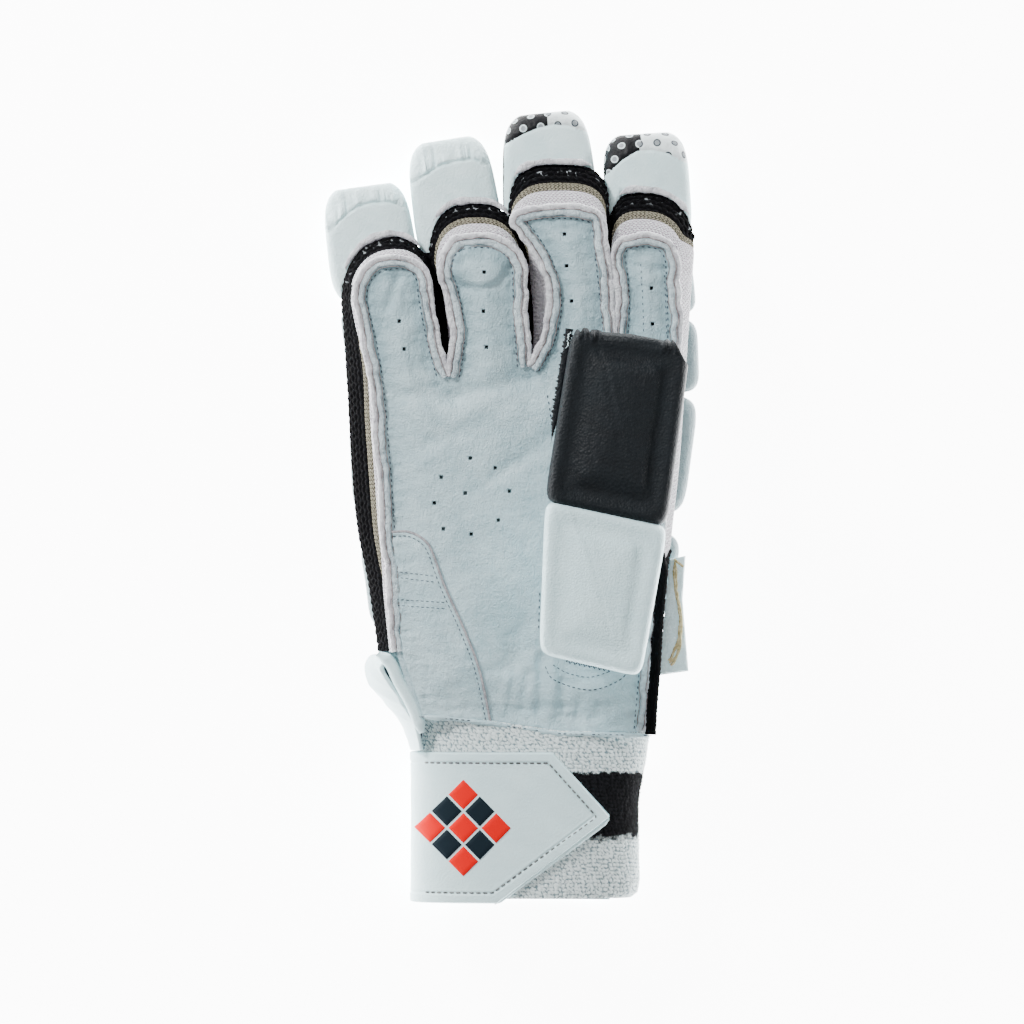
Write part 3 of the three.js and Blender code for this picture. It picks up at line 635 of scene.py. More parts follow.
# Folds in the leather: from, to, width in mm, height in mm (negative for a crease)
FOLDS = [
    ((-0.66, 0.285), (-0.30, 0.275), 3.0, -0.9),
    ((-0.30, 0.275), (0.10, 0.330), 3.0, -1.1),
    ((-0.07, 0.080), (0.25, 0.190), 3.5, -1.1),
    ((-0.20, 0.040), (-0.02, 0.100), 3.0, -0.4),
    ((0.14, -0.560), (0.16, -0.380), 2.2, -1.5),
    ((0.06, -0.300), (-0.02, -0.400), 4.5, -1.2),
    ((0.08, -0.420), (0.04, -0.560), 1.8, -1.2),
    ((-0.02, -0.430), (-0.06, -0.550), 1.8, 0.9),
    ((0.36, -0.480), (0.34, -0.560), 1.5, -0.8),
    ((0.46, -0.500), (0.47, -0.565), 1.5, -0.7),
    ((0.20, -0.560), (0.23, -0.330), 2.2, 0.9),
    ((0.27, -0.560), (0.27, -0.440), 1.6, -0.9),
    ((-0.05, -0.560), (0.02, -0.400), 3.0, -0.8),
    ((0.02, -0.520), (0.30, -0.500), 2.0, -0.5),
    ((0.33, -0.550), (0.55, -0.500), 2.5, -0.6),
    ((-0.62, 0.250), (-0.45, 0.160), 2.5, -0.5),
    ((-0.45, 0.160), (-0.10, 0.200), 3.5, -0.5),
    ((0.10, 0.260), (0.30, 0.300), 2.5, -0.5),
    ((-0.66, 0.500), (-0.58, 0.610), 1.8, -1.2),
    ((-0.58, 0.600), (-0.49, 0.625), 1.8, 0.8),
    ((-0.56, 0.440), (-0.42, 0.500), 3.5, 0.7),
    ((0.62, 0.610), (0.80, 0.600), 1.6, -0.6),
    ((0.62, 0.560), (0.80, 0.575), 1.8, 0.5),
]
# The ring finger's leather bags out over the fingertip and folds under itself in a crescent.
BAG_LOW = at((-0.33, 0.575), (-0.27, 0.560), (-0.18, 0.550), (-0.08, 0.562), (-0.02, 0.600))


def palm_height(plan):
    """The top of the palm leather: a crown inside its edge, folds, and puckers beside the seam."""
    edge = nearest_on(plan, LEATHER_LINE[::3])[0]
    height = PALM_BOTTOM + LEATHER_WALL - 0.5 + (PALM_CROWN - 0.2) * smooth((edge - 2) / CROWN_MARGIN)
    for start, end, width, size in FOLDS:
        away = nearest_on(plan, at(start, end), closed=False)[0]
        height += size * bump(away, width) * smooth(edge / 6)
    crescent = curve_through(BAG_LOW, 40)
    away = nearest_on(plan, crescent, closed=False)[0]
    above = plan[:, 1] > np.interp(plan[:, 0], crescent[:, 0], crescent[:, 1])
    in_bag = above & (plan[:, 0] > crescent[0, 0]) & (plan[:, 0] < crescent[-1, 0])
    height += np.where(in_bag, 1.5 * smooth(away / 2.2) * smooth((edge - 1) / 4), -0.4 * bump(away, 1.5))
    pucker = ripple(plan[:, 0] + 2 * plan[:, 1], 5, 6, 18) * ripple(plan[:, 1] - plan[:, 0], 8, 5, 13)
    height += 0.7 * pucker * bump(edge - 4.5, 3.5)
    height += 0.25 * ripple(plan[:, 0] + 0.6 * plan[:, 1], 11, 6, 40) * smooth(edge / 6)
    height += 0.25 * ripple(plan[:, 1] - 0.5 * plan[:, 0], 12, 6, 46) * smooth(edge / 6)
    return np.minimum(height, SLEEVE_BOTTOM - 0.1)


print("vents", len(VENTS))

# %% [markdown]
# ## Leather, knit and moulded finishes
# Leather is a smooth coat over a skin of small cells, slightly uneven in colour, with fine wrinkles.
# Knit is matt and its colour varies from loop to loop; shade is painted in, darker between the loops. The
# relief that is big enough to shade is in the meshes, and the rest is bump.

# %% Functions that make finishes
# Skin cells to the metre
SKIN_CELLS = 1300
# Height of a row and length of a loop in mm: the black mesh, the white rib and the khaki tape
MESH_ROW, MESH_LOOP, MESH_SHIFT = 2.2, 2.9, 0.37
RIB_ROW, RIB_LOOP = 1.9, 1.6
TAPE_ROW, TAPE_LOOP = 1.35, 1.45
V_SLANT = 0.9


def leather_finish(name, base, dark, roughness, wrinkle, grain=1.0, patches=60, shine=0.4, painted_shade=None):
    """Leather: cloudy colour, wrinkles that run across the hand, and a skin of small cells.
    wrinkle and grain scale their depth; patches: how many clouds to the metre.
    painted_shade: the colour of shade painted in where the piece's attribute of that name is one."""
    s = Shader(name, roughness, Specular_IOR_Level=shine)
    where = s.place()
    cloud = s.noise(where, patches, 5).between(0.32, 0.66)
    creases = s.noise(where, 170, 7, 0.72, stretch=(0.6, 1.5, 1.0))
    diagonal = s.noise(where, 420, 4, 0.75, stretch=(1.0, 0.45, 1.0))
    share = cloud * 0.55 + creases.between(0.35, 0.6) * 0.45
    tone = s.mix(share, colour(*dark), colour(*base))
    # Painted shade: the colour darkens towards the given shade colour where the piece's attribute says so
    if painted_shade:
        tone = s.mix(s.attribute("painted_shade"), tone, colour(*painted_shade))
    s.feed(Base_Color=tone, Roughness=cloud * 0.12 + (roughness - 0.06))
    s.relief((creases, 0.0007 * wrinkle), (diagonal, 0.0010 * wrinkle),
             (s.cells(where, SKIN_CELLS), 0.00016 * grain))
    return s.material


def yarn_finish(name, base, dark, roughness=0.8, loops=700):
    """Matt yarn, cloudy between two colours."""
    s = Shader(name, roughness, Specular_IOR_Level=0.2)
    where = s.place()
    cloud = s.noise(where, loops, 4, 0.7).between(0.35, 0.65)
    s.feed(Base_Color=s.mix(cloud, colour(*dark), colour(*base)))
    s.relief((s.noise(where, loops * 2, 3, 0.8), 0.0005))
    return s.material


def rows_of_v(row, loop_length):
    """Rows of V in a shader, as the tape and the rib have them in their meshes."""
    return lambda s, along, across: v_loop(along, across, row, loop_length)


def v_loop(along, across, row, loop_length):
    fold = abs((across / row).fraction() * 2 - 1)
    loop = abs(((along / loop_length + fold * V_SLANT) * np.pi).sine())
    return loop * (fold * np.pi).sine().most(0.25)


def loops_of_mesh(s, along, across):
    """Chunky loops that shift from row to row and wander, as the mesh bands have them."""
    row = (across / MESH_ROW).whole()
    wander = s.noise(s.place(), 60, 2) * 0.7
    loop = abs(((along / MESH_LOOP + row * MESH_SHIFT + wander) * np.pi).sine())
    return loop * abs((across / MESH_ROW * np.pi).sine())


def stitch_finish(name, weave, low, high, pit, top, speck=None, painted_wall_light=None, shine=0.2):
    """A knit whose colour goes from pit to top as its loops rise from low to high: the pits take painted
    shade, and the khaki's also its own dark threads.
    speck: what shows through the middle row of a mesh. painted_wall_light: a paler colour painted on the
    walls between fingers, which lie in shadow."""
    s = Shader(name, 0.9, Specular_IOR_Level=shine)
    where = s.place()
    loop = weave(s, s.attribute("along"), s.attribute("across"))
    share = (loop + s.noise(where, 1500, 2) * 0.5 - 0.25).between(low, high)
    # Painted shade: the pits between the loops take the darker colour; the khaki's is partly its own dark
    # threads
    tone = s.mix(share, colour(*pit), colour(*top))
    if speck:
        gap = (0.30 - loop).between(0.0, 0.2) * s.attribute("middle").between(0.45, 0.9)
        gap = gap * s.attribute("cap")
        gap = gap * s.noise(where, 330, 2).between(0.55, 0.66)
        tone = s.mix(gap, tone, colour(*speck))
    # Painted light: the walls between fingers lie in shadow and are painted paler
    if painted_wall_light:
        tone = s.mix(s.attribute("between") * 0.9, tone, colour(*painted_wall_light))
    s.feed(Base_Color=tone)
    s.relief((loop, 0.0004), (s.noise(where, 2300, 3, 0.8), 0.0004))
    return s.material


# %% [markdown]
# ## The finishes
# Two colours are given for each finish, the lighter one first for leather and yarn, and the darker
# one, shade painted down between the loops, first for knit. They were set by comparing renders with the
# photograph, under the lights below.

# %% Finishes
TIP_PALE, TIP_DARK = (228, 252, 254), (216, 244, 247)
# The palm's third colour is painted shade, mixed in where the piece's attribute is one
PALM = leather_finish("palm_leather_finish", (194, 219, 225), (164, 193, 201), 0.44, wrinkle=0.8,
                      shine=0.5, painted_shade=(142, 172, 181))
TIP = leather_finish("tip_leather_finish", TIP_PALE, TIP_DARK, 0.42, wrinkle=0.35, patches=30)
# The back's white leather, painted darker as shade: the rolls and shell lie in shade at the glove's sides
SHADED_WHITE = leather_finish("shaded_white_leather_finish", (156, 176, 180), (132, 155, 161), 0.42, wrinkle=0.5)
STRAP = leather_finish("strap_leather_finish", (219, 246, 249), (210, 239, 243), 0.45, wrinkle=0.10,
                       grain=0.6)
THUMB_WHITE_FINISH = leather_finish("thumb_white_finish", (212, 240, 244), (202, 232, 237), 0.5,
                                    wrinkle=0.06, grain=1.2)
THUMB_BLACK_FINISH = leather_finish("thumb_black_finish", (13, 21, 26), (5, 11, 16), 0.55,
                                    wrinkle=0.22, grain=1.4, shine=0.22)
LIP = leather_finish("lip_finish", (240, 243, 246), (202, 201, 209), 0.7, wrinkle=2.0, patches=420,
                     shine=0.15)
LEATHER_LIP = leather_finish("leather_lip_finish", (222, 238, 243), (178, 196, 204), 0.6, wrinkle=2.0,
                             patches=300, shine=0.2)
# Each knit's first colour is shade painted between its loops, the khaki's partly its own dark threads
# The white rib's last colour is light painted on the walls between fingers, which lie in shadow
WHITE_KNIT = stitch_finish("white_knit_finish", rows_of_v(RIB_ROW, RIB_LOOP), 0.15, 0.6,
                           (158, 144, 158), (240, 243, 246), painted_wall_light=(252, 249, 255))
KHAKI = stitch_finish("khaki_finish", rows_of_v(TAPE_ROW, TAPE_LOOP), 0.2, 0.75,
                      (62, 58, 48), (176, 171, 150))
BLACK_KNIT = stitch_finish("black_knit_finish", loops_of_mesh, 0.5, 1.0, (3, 3, 5), (13, 14, 18),
                           speck=(165, 172, 176), shine=0.1)
THREAD = yarn_finish("thread_finish", (98, 110, 122), (52, 62, 74))
STRAP_THREAD = yarn_finish("strap_thread_finish", (138, 142, 142), (86, 92, 94))
# The colour of shade painted in the creases beside the seam lips
CREASE_SHADE = yarn_finish("crease_shade_finish", (176, 170, 172), (112, 104, 106), 0.95, loops=300)
PIPING = yarn_finish("piping_finish", (186, 182, 186), (150, 146, 152))
YELLOW_THREAD = yarn_finish("yellow_thread_finish", (222, 212, 170), (178, 166, 120))
print("materials", len(bpy.data.materials))

# %% [markdown]
# ## The palm leather
# One hide covers the palm and the undersides of four fingers. It is cut out, sewn to the gussets
# all round, and turned, so that it stands up a little in the middle and puckers beside the seam.
# Shade is painted into the leather's colour: darker beside its seams, on the fingers and towards the
# wrist, and a little cloudy. That could be painted on an image; here it is a number at each point, which
# the finish mixes in.

# %% Palm leather
plan, faces = cut_sheet(LEATHER_LINE, 0.8, VENTS, VENT_RADIUS)
x, y = plan.T
from_edge = nearest_on(plan, LEATHER_LINE[::3])[0]
# Painted shade: darker beside the seams, on the fingers and towards the wrist, made a little cloudy at
# random
on_finger = smooth((y - FORKS[0, 1] + 8) / 16)
near_wrist = smooth((-18 - y) / 30)
cloudy = ripple(x + y, 301, 6, 33) * ripple(x - y, 302, 6, 27)
painted_shade = (0.25 + 0.35 * on_finger) * bump(from_edge - 4.2, 3.2) + 0.30 * on_finger
painted_shade = np.clip(painted_shade + 0.16 * near_wrist + 0.18 * cloudy, 0, 1)
palm = leather_object("palm_hide", plan, faces, palm_height(plan), LEATHER_WALL, {"painted_shade": painted_shade})
finish_piece(palm, PALM, ["palm_leather"])

# %% [markdown]
# ## Knitted bands round the fingers
# A gusset of three bands joins the back of each finger to the palm: black mesh, a khaki tape and
# white rib. Each band here is a closed ribbon whose outer face carries its stitches as relief.
# With u along the band and v across it, in millimetres:
# mesh: h = |sin(pi (u / p + k row))| |sin(pi v / q)|, chunky loops that shift from row to row;
# rib and tape: h = |sin(pi (u / p + s f))| with f = |2 frac(v / q) - 1|, so that the loops slant one
# way in one half of a row and the other way in the other half, which reads as rows of V.

# %% Gusset bands
GUSSET_RISE = GUSSET_TOP - GUSSET_BOTTOM
BLACK_SHARE, KHAKI_SHARE = 0.42, 0.60
BAND_WALL = 1.5
# About where a finger's cap starts and ends on its line
CAP_START, CAP_END = LEG_POINTS, LEG_POINTS + CAP_POINTS


def mesh_relief(u, v):
    """Chunky loops that slant one way and the other, row by row, and wander a little."""
    row = np.floor(v / MESH_ROW)
    slant = np.where(row % 2 == 0, 0.35, -0.35)
    wander = 0.10 * ripple(u, 3, 6, 14) + 0.08 * ripple(u + 5 * row, 4, 6, 9)
    loop = np.abs(np.sin(np.pi * (u / MESH_LOOP + row * MESH_SHIFT + slant * v / MESH_ROW + wander)))
    return loop ** 0.7 * np.abs(np.sin(np.pi * (v / MESH_ROW + 0.06 * ripple(u, 5, 5, 11)))) ** 0.55


def rows_of_v_relief(row, loop_length):
    """Rows of V: the loops' phase runs forwards in one half of a row and backwards in the other."""
    def relief(u, v):
        fold = np.abs(2 * (v / row - np.floor(v / row)) - 1)
        loop = np.abs(np.sin(np.pi * (u / loop_length + V_SLANT * fold)))
        return loop ** 0.6 * (0.45 + 0.55 * np.sin(np.pi * np.clip(fold, 0.05, 0.95)) ** 0.5)
    return relief


def leg_taper(place):
    """One round the cap, falling to nothing on the legs."""
    last = LEG_POINTS - 1
    up = smooth((place - last * 0.55) / (last * 0.4))
    down = smooth((last * 1.45 + CAP_POINTS - place) / (last * 0.4))
    return up * down


def band_shares(finger, place, y):
    """The heights, as shares of the rise, where black gives way to khaki and khaki to white.
    Black and khaki thin out between fingers and go on down the little finger's side."""
    taper = leg_taper(place)
    before, after = place < CAP_START + 10, place > CAP_END - 10
    black_size = np.full_like(place, BLACK_SHARE)
    khaki_size = np.full_like(place, KHAKI_SHARE - BLACK_SHARE)
    if finger == "little":
        taper = np.where(before, 1.0, taper)
        khaki_size *= 1.15 * smooth((CAP_START - 6 - place) / 12) * smooth((y + 32) / 20)
        black_size += 0.16 + (0.10 * smooth((y - 30) / 25) + 0.09 * smooth((-8 - y) / 22)) * before
    if finger == "index":
        taper = np.where(after, 1.0, taper)
        low = smooth((-14 - y) / 6)
        high = smooth((CAP_END - 6 - place) / 18)
        black_size = np.where(after | (high < 1), black_size * high + 0.66 * low, black_size)
        khaki_size *= smooth((CAP_END - 2 - place) / 12)
    thin = np.where(after & (finger == "index"), 0.0, 0.10)
    black = thin + (black_size - thin) * taper
    return black, black + khaki_size * taper


def outward_normals(face, outer):
    """Normals of a band's face, turned to point out of the finger or up."""
    normal = normals_of(face)
    away = move_in(outer, -1.0) - outer
    flip = np.einsum("ijk,ik->ij", normal[..., :2], away) + 0.3 * normal[..., 2] < 0
    return np.where(flip[..., None], -normal, normal)


def between_fingers(finger, place):
    """One on the legs that face another finger, falling to nothing round the cap."""
    up, down = place < CAP_START, place > CAP_END
    facing = {"little": down, "index": up}.get(finger, up | down)
    return facing * (1 - leg_taper(place))


def band(name, finger, shares, relief, depth, bulge, material, node, across):
    """A closed ribbon between two shares of the gusset's rise, with relief on its outer face.
    depth and bulge: the relief's height and the ribbon's swelling; across: its cells' size, in mm."""
    outer, leather, travelled, place = finger_edges(finger)
    black, khaki = band_shares(finger, place, outer[:, 1])
    low, high = shares(black, khaki)
    shown = np.flatnonzero(high - low > 0.03)
    shown = np.arange(shown[0], shown[-1] + 1)
    outer, leather, travelled, low, high = (a[shown] for a in (outer, leather, travelled, low, high))
    high = np.maximum(high, low + 0.01)
    slope = np.hypot(np.hypot(*(outer - leather).T), GUSSET_RISE)
    width = (high - low) * slope
    count = max(int(np.percentile(width, 80) / across), 6)
    v = np.linspace(0, 1, count)
    share = low[:, None] + (high - low)[:, None] * v
    flat = outer[:, None] * (1 - share[..., None]) + leather[:, None] * share[..., None]
    face = np.dstack([flat, GUSSET_BOTTOM + share * GUSSET_RISE])
    normal = outward_normals(face, outer)
    u = np.broadcast_to(travelled[:, None], share.shape)
    height = relief(u, v * width[:, None])
    rounded = np.sin(np.pi * np.clip(v, 0.02, 0.98)) ** 0.5
    fade = np.clip(width[:, None] / 2, 0, 1)
    between = between_fingers(finger, place)[shown][:, None]
    set_back = 0.1 + 0.8 * between
    swell = height * depth * (0.3 + 0.7 * rounded) + bulge * rounded
    front = face + normal * (swell * fade - set_back)[..., None]
    back = face - normal * BAND_WALL
    grid = np.concatenate([front, back[:, ::-1][:, 1:-1:3]], axis=1)
    values = {key: np.zeros(grid.shape[:2]) for key in ("along", "across", "middle", "between", "cap")}
    values["cap"][:] = smooth(np.minimum(place - CAP_START + 8, CAP_END + 6 - place) / 8)[shown][:, None]
    values["along"][:] = travelled[:, None]
    values["across"][:, :count] = v * width[:, None]
    values["middle"][:, :count] = np.sin(np.pi * v) ** 3
    values["between"][:] = between
    obj = make_object(name, grid, closed_tube(grid), attributes=values)
    return finish_piece(obj, material, [node])


for finger in FINGERS:
    band(f"{finger}_black_mesh", finger, lambda black, khaki: (0 * black, black), mesh_relief,
         depth=1.15, bulge=0.5, across=0.36,
         material=BLACK_KNIT, node=f"{finger}_black_band")
    band(f"{finger}_khaki_tape", finger, lambda black, khaki: (black, khaki),
         rows_of_v_relief(TAPE_ROW, TAPE_LOOP),
         depth=0.5, bulge=0.4, across=0.2,
         material=KHAKI, node=f"{finger}_khaki_band")
    band(f"{finger}_white_rib", finger, lambda black, khaki: (khaki, 0 * khaki + 1),
         rows_of_v_relief(RIB_ROW, RIB_LOOP),
         depth=0.55, bulge=0.8, across=0.36,
         material=WHITE_KNIT, node=f"{finger}_white_band")

# %% [markdown]
# ## Seam lips
# Where the leather meets the gusset, both edges are turned up and sewn together. They stand as a
# pair of soft lips, one of knit and one of leather, that wave a little, since the leather's edge is
# longer than the seam. A cloth simulation could find that wave; a sum of sines gives it in one line.
# Each lip is a flattened tube along the leather line. The shade in the crease between the two, and
# in another on the inner side of the leather lip, is painted as a thin dark tube.

# %% Seam lips
LIP_STEP = 0.6


def lip(line, inset, width, height, rise, seed, wave=1.0, end=0.2):
    """A wavy tube along a plan line, moved in by the inset, at a rise over the leather's edge.
    end: the share of its size that is left at its ends."""
    line = resample(line, int(path_length(line)[-1] / LIP_STEP))
    u = path_length(line)
    shape = ripple(u, seed, 6, 31) * 0.45 + ripple(u, seed + 50, 4, 9) * 0.16
    fade = end + (1 - end) * np.minimum(smooth(u / 4), smooth((u[-1] - u) / 4))
    swell = 1 + 0.24 * ripple(u, seed + 9, 8, 24)
    z = PALM_BOTTOM + LEATHER_WALL * 0.5 + rise + 0.25 * ripple(u, seed + 3, 6, 22)
    plan = move_in(line, inset + wave * shape)
    return flat_tube(plan, z, width * swell * fade, height * swell * fade, 12)


LIP_SIZES = {"little": 1.0, "ring": 1.15, "middle": 1.1, "index": 1.0}
lips, leather_lips, creases = [], [], []
for number, finger in enumerate(FINGERS):
    line = finger_line(finger, "leather")
    size = LIP_SIZES[finger]
    seed = 20 + number
    lips.append(lip(line, -0.85, 1.1 * size, 0.8, 0.6, seed, end=0.8))
    leather_lips.append(lip(line, 1.35 * size, 1.15 * size, 0.75, 1.0, seed, wave=1.15, end=0.8))
    # Thin dark tubes: painted shade in the creases
    creases.append(lip(line, 0.22, 0.22, 0.5, 1.3, seed, wave=1.1))
    creases.append(lip(line, 2.75 * size, 0.16, 0.4, 0.9, seed))
finish_parts("seam_lips", lips, LIP)
finish_parts("leather_lips", leather_lips, LEATHER_LIP)
finish_parts("seam_crease_shadows", creases, CREASE_SHADE)

# %% [markdown]
# ## Hems of the gussets
# The gusset's outer edge is hemmed with a narrow tape of pale knit, which shows as a thin line
# between the black mesh and the pad of each fingertip. It is made as the lips are, a flattened tube,
# but only over the cap of the finger, where it shows in the photograph.

# %% Hems of the gussets
hems = []
for number, finger in enumerate(FINGERS):
    line = finger_line(finger, "outer")[CAP_START + 17:CAP_END - 25]
    grid, faces = lip(line, -1.0, 1.25, 0.8, 0.0, 130 + number, wave=0.4)
    grid[..., 2] += top_of("middle_tip_pad") - PALM_BOTTOM - 0.9
    hems.append((grid, faces))
finish_parts("gusset_hems", hems, LIP)

# %% [markdown]
# ## Padded rolls
# The back of a glove is made of leather tubes filled with foam, one after another down each finger,
# so that the hand can close. Each one is a pillow: rings that start at a point below, run out along
# a squared oval and up its side, and close at a point on top. The stations give the centre line,
# half the width and the lean of the cross line on the way.

# %% Pillows along stations
# x, y, half the width as shares, and degrees of lean
STATIONS = {
    "little": [(-0.787, 0.807, 0.208, 8), (-0.701, 0.518, 0.229, 8), (-0.664, 0.394, 0.240, 6),
               (-0.621, 0.269, 0.262, 4), (-0.627, -0.035, 0.229, 0)],
    "ring": [(-0.344, 0.925, 0.208, 9), (-0.243, 0.611, 0.232, 8), (-0.184, 0.445, 0.219, 6),
             (-0.125, 0.269, 0.195, 4), (-0.168, -0.035, 0.219, 0)],
    "middle": [(0.179, 0.995, 0.213, 6), (0.248, 0.683, 0.237, 6), (0.296, 0.495, 0.216, 5),
               (0.323, 0.294, 0.216, 3), (0.264, -0.030, 0.200, 0)],
    "index": [(0.701, 0.942, 0.219, 4), (0.744, 0.646, 0.219, 3), (0.775, 0.482, 0.226, 1),
              (0.792, 0.285, 0.222, 0), (0.712, -0.018, 0.215, -4)],
}
HAND_BACK = [(0.050, -0.046, 0.884, 0), (0.019, -0.334, 0.779, 0)]
WRIST_BACK = [(0.040, -0.347, 0.736, 0), (0.051, -0.515, 0.600, 0)]


def on_stations(stations, u, v):
    """Plan places at shares across (u, -1 to 1) and along (v, 1 at the first station to -1)."""
    table = np.array(stations, float)
    centres = at(*table[:, :2])
    lean = np.radians(table[:, 3])
    cross = np.stack([np.cos(lean), np.sin(lean)], axis=1) * table[:, 2:3] * HALF_WIDTH
    place = (1 - v) / 2 * (len(table) - 1)
    marks = np.arange(len(table))
    centre = [np.interp(place, marks, centres[:, k]) for k in range(2)]
    across = [np.interp(place, marks, cross[:, k]) for k in range(2)]
    return np.stack([centre[k] + across[k] * u for k in range(2)], axis=-1)


def half_sizes(stations):
    """Half the mean width and half the length of a run of stations, in mm."""
    table = np.array(stations, float)
    first, last = at(*table[[0, -1], :2])
    return table[:, 2].mean() * HALF_WIDTH, np.hypot(*(first - last)) / 2


def pillow(stations, rows, square, around, draw=0.0):
    """Rings of points. Each row has the share of the outline that it reaches, an inset and a height.
    draw: an inset for all rows, negative to grow."""
    half_width, half_length = half_sizes(stations)
    rows = np.array(rows, float)
    turn = np.linspace(0, 2 * np.pi, around, endpoint=False)
    reach, inset, height = rows[:, :1], rows[:, 1:2] + draw, rows[:, 2:3]
    u = power(np.cos(turn), 2 / square)[None] * (1 - inset / half_width) * reach
    v = power(np.sin(turn), 2 / square)[None] * (1 - inset / half_length) * reach
    plan = on_stations(stations, u, v)
    return np.dstack([plan, np.broadcast_to(height, u.shape)]), u, v


def closed_ring_grid(grid, attributes=None):
    """A grid whose rows are rings, with the rings that are one point welded shut."""
    return weld(grid, grid_faces(*grid.shape[:2], wrap_columns=True), attributes)


def pillow_object(name, grid, attributes=None):
    """A closed mesh object from a grid of rings."""
    points, faces, kept = closed_ring_grid(grid, attributes)
    return make_object(name, points, faces, attributes=kept)


def side_profile(height, round_low, round_high, low_inset, high_inset):
    """Insets and heights up the side of a pillow, with both of its edges rounded."""
    turn = np.linspace(0, np.pi / 2, 7)
    sine, cosine = 1 - np.sin(turn), 1 - np.cos(turn)
    low = np.column_stack([low_inset + round_low * sine, round_low * cosine])
    high = np.column_stack([high_inset + round_high * cosine, height - round_high * sine])
    return np.vstack([low, high])


def pillow_rows(height, dome, flat_steps=9, crown_steps=16, **sides):
    """All rows of a pillow: out under it, up its side, and in over its crown."""
    side = side_profile(height - dome, **sides)
    out = np.linspace(0, 1, flat_steps)[:-1]
    over = np.linspace(1, 0, crown_steps)[1:]
    below = np.column_stack([out, np.full_like(out, side[0, 0]), np.full_like(out, side[0, 1])])
    edge = np.column_stack([np.ones(len(side)), side])
    above = np.column_stack([over, np.full_like(over, side[-1, 0]), height - dome * over ** 2.2])
    return np.vstack([below, edge, above])


def apart(first, second, gap=0.3):
    """Two stations drawn towards each other."""
    gap /= HALF_LENGTH
    return [(first[0], first[1] - gap, *first[2:]), (second[0], second[1] + gap, *second[2:])]


def roll_object(name, stations, node, seed, square=5, around=96):
    """A padded roll as high as the back's rolls, with wrinkles that swell it by about a hundredth."""
    rows = pillow_rows(ROLL_TOP, 0.8, round_low=4.2, round_high=3.6, low_inset=0.4, high_inset=0.3)
    grid, u, v = pillow(stations, rows, square, around)
    up = grid[..., 2:] / ROLL_TOP
    wrinkle = ripple(u * 4 + v, seed, 5, 3.1) * np.sin(np.pi * np.clip(up[..., 0], 0, 1))
    outward = grid[..., :2] - grid[..., :2].mean((0, 1))
    grid[..., :2] += 0.012 * wrinkle[..., None] * outward * up
    obj = pillow_object(name, grid)
    return finish_piece(obj, SHADED_WHITE, [node])


for number, finger in enumerate(FINGERS):
    stations = STATIONS[finger]
    for k, part in enumerate(["middle_roll", "base_roll", "knuckle_pad"]):
        pair = apart(stations[k + 1], stations[k + 2])
        roll_object(f"{finger}_{part}_sewn", pair, f"{finger}_{part}", number * 5 + k)
roll_object("hand_back_sewn", apart(*HAND_BACK), "hand_back_pad", 60, square=6, around=160)
roll_object("wrist_back_sewn", apart(*WRIST_BACK), "wrist_back_pad", 61, square=6, around=160)

# %% [markdown]
# ## Fingertip pads
# A tip pad wraps round the fingertip. Its leather is gathered at the crown into a small end cap,
# with pleats that run from the cap's seam. On two fingers the cap is half black and half white, with
# a dotted print. The seam is a groove in the height: it falls with the distance to the cap's line.

# %% Tip pads
TIP_TOP = top_of("middle_tip_pad")
# The cap's seam: its v (share along) at evenly spaced places of u (share across)
TIP_SEAMS = {
    "little": [0.30, 0.52, 0.66, 0.69, 0.66, 0.56],
    "ring": [0.38, 0.50, 0.60, 0.62, 0.62, 0.50],
    "middle": [0.56, 0.68, 0.76, 0.79, 0.74, 0.62],
    "index": [0.34, 0.56, 0.70, 0.70, 0.62, 0.45],
}
PLEATS = {"little": 1.0, "ring": 1.0, "middle": 0.3, "index": 0.3}
# Growth, shift to the right and shift towards the fingertips, in mm
GROWTH = {"little": (1.5, -0.8, 0.9), "ring": (1.0, -0.8, 1.0), "middle": (1.0, -0.4, 0.6),
          "index": (0.9, 0.3, 0.7)}
# The u at which a printed cap changes from black to white
CAP_SPLIT = {"middle": 0.02, "index": -0.12}
# The print's cells and its dots, in mm
DOT_PITCH, DOT_ROW, DOT_RADIUS = 6.6, 5.0, 0.95


def seam_share(finger, u):
    """How far along the pad the cap's seam is, at a share across."""
    line = TIP_SEAMS[finger]
    return np.interp(u, np.linspace(-0.95, 0.95, len(line)), line)


def tip_surface(finger):
    """The tip pad's grid with its groove and pleats, and the numbers that its finish reads."""
    stations = apart(*STATIONS[finger][:2])
    rows = pillow_rows(TIP_TOP, 1.0, flat_steps=7, crown_steps=64, round_low=7.0, round_high=3.8,
                       low_inset=0.5, high_inset=0.2)
    draw, shift_x, shift_y = GROWTH[finger]
    grid, u, v = pillow(stations, rows, 3.8, 220, -draw)
    grid[..., 0] += shift_x
    grid[..., 1] += shift_y
    if finger == "middle":
        grid[..., 0] -= 3.0 * (1 - v) / 2 * np.clip(-u, 0, 1)
    half_width, half_length = half_sizes(stations)
    away = (v - seam_share(finger, u)) * half_length
    on_top = smooth((grid[..., 2] - TIP_TOP * 0.5) / (TIP_TOP * 0.3))
    number = FINGERS.index(finger)
    pleat = PLEATS[finger]
    fold = ripple(u * 5.0, 70 + number, 8, 2.1)
    grid[..., 2] -= on_top * (0.35 + 0.55 * pleat) * bump(away, 0.55)
    grid[..., 2] += on_top * pleat * 0.75 * fold * smooth(away / 1.2) * (0.35 + 0.65 * bump(away - 1, 3.5))
    grid[..., 2] -= on_top * 1.6 * smooth(away / 9)
    grid[..., 2] += 0.2 * on_top * ripple(u + v * 2, 90 + number, 4, 2.3)
    grid[..., 2] = np.minimum(grid[..., 2], room_under_shell(grid[..., :2]))
    return grid, tip_print(finger, u, v, away, grid[..., 2], half_width, half_length)


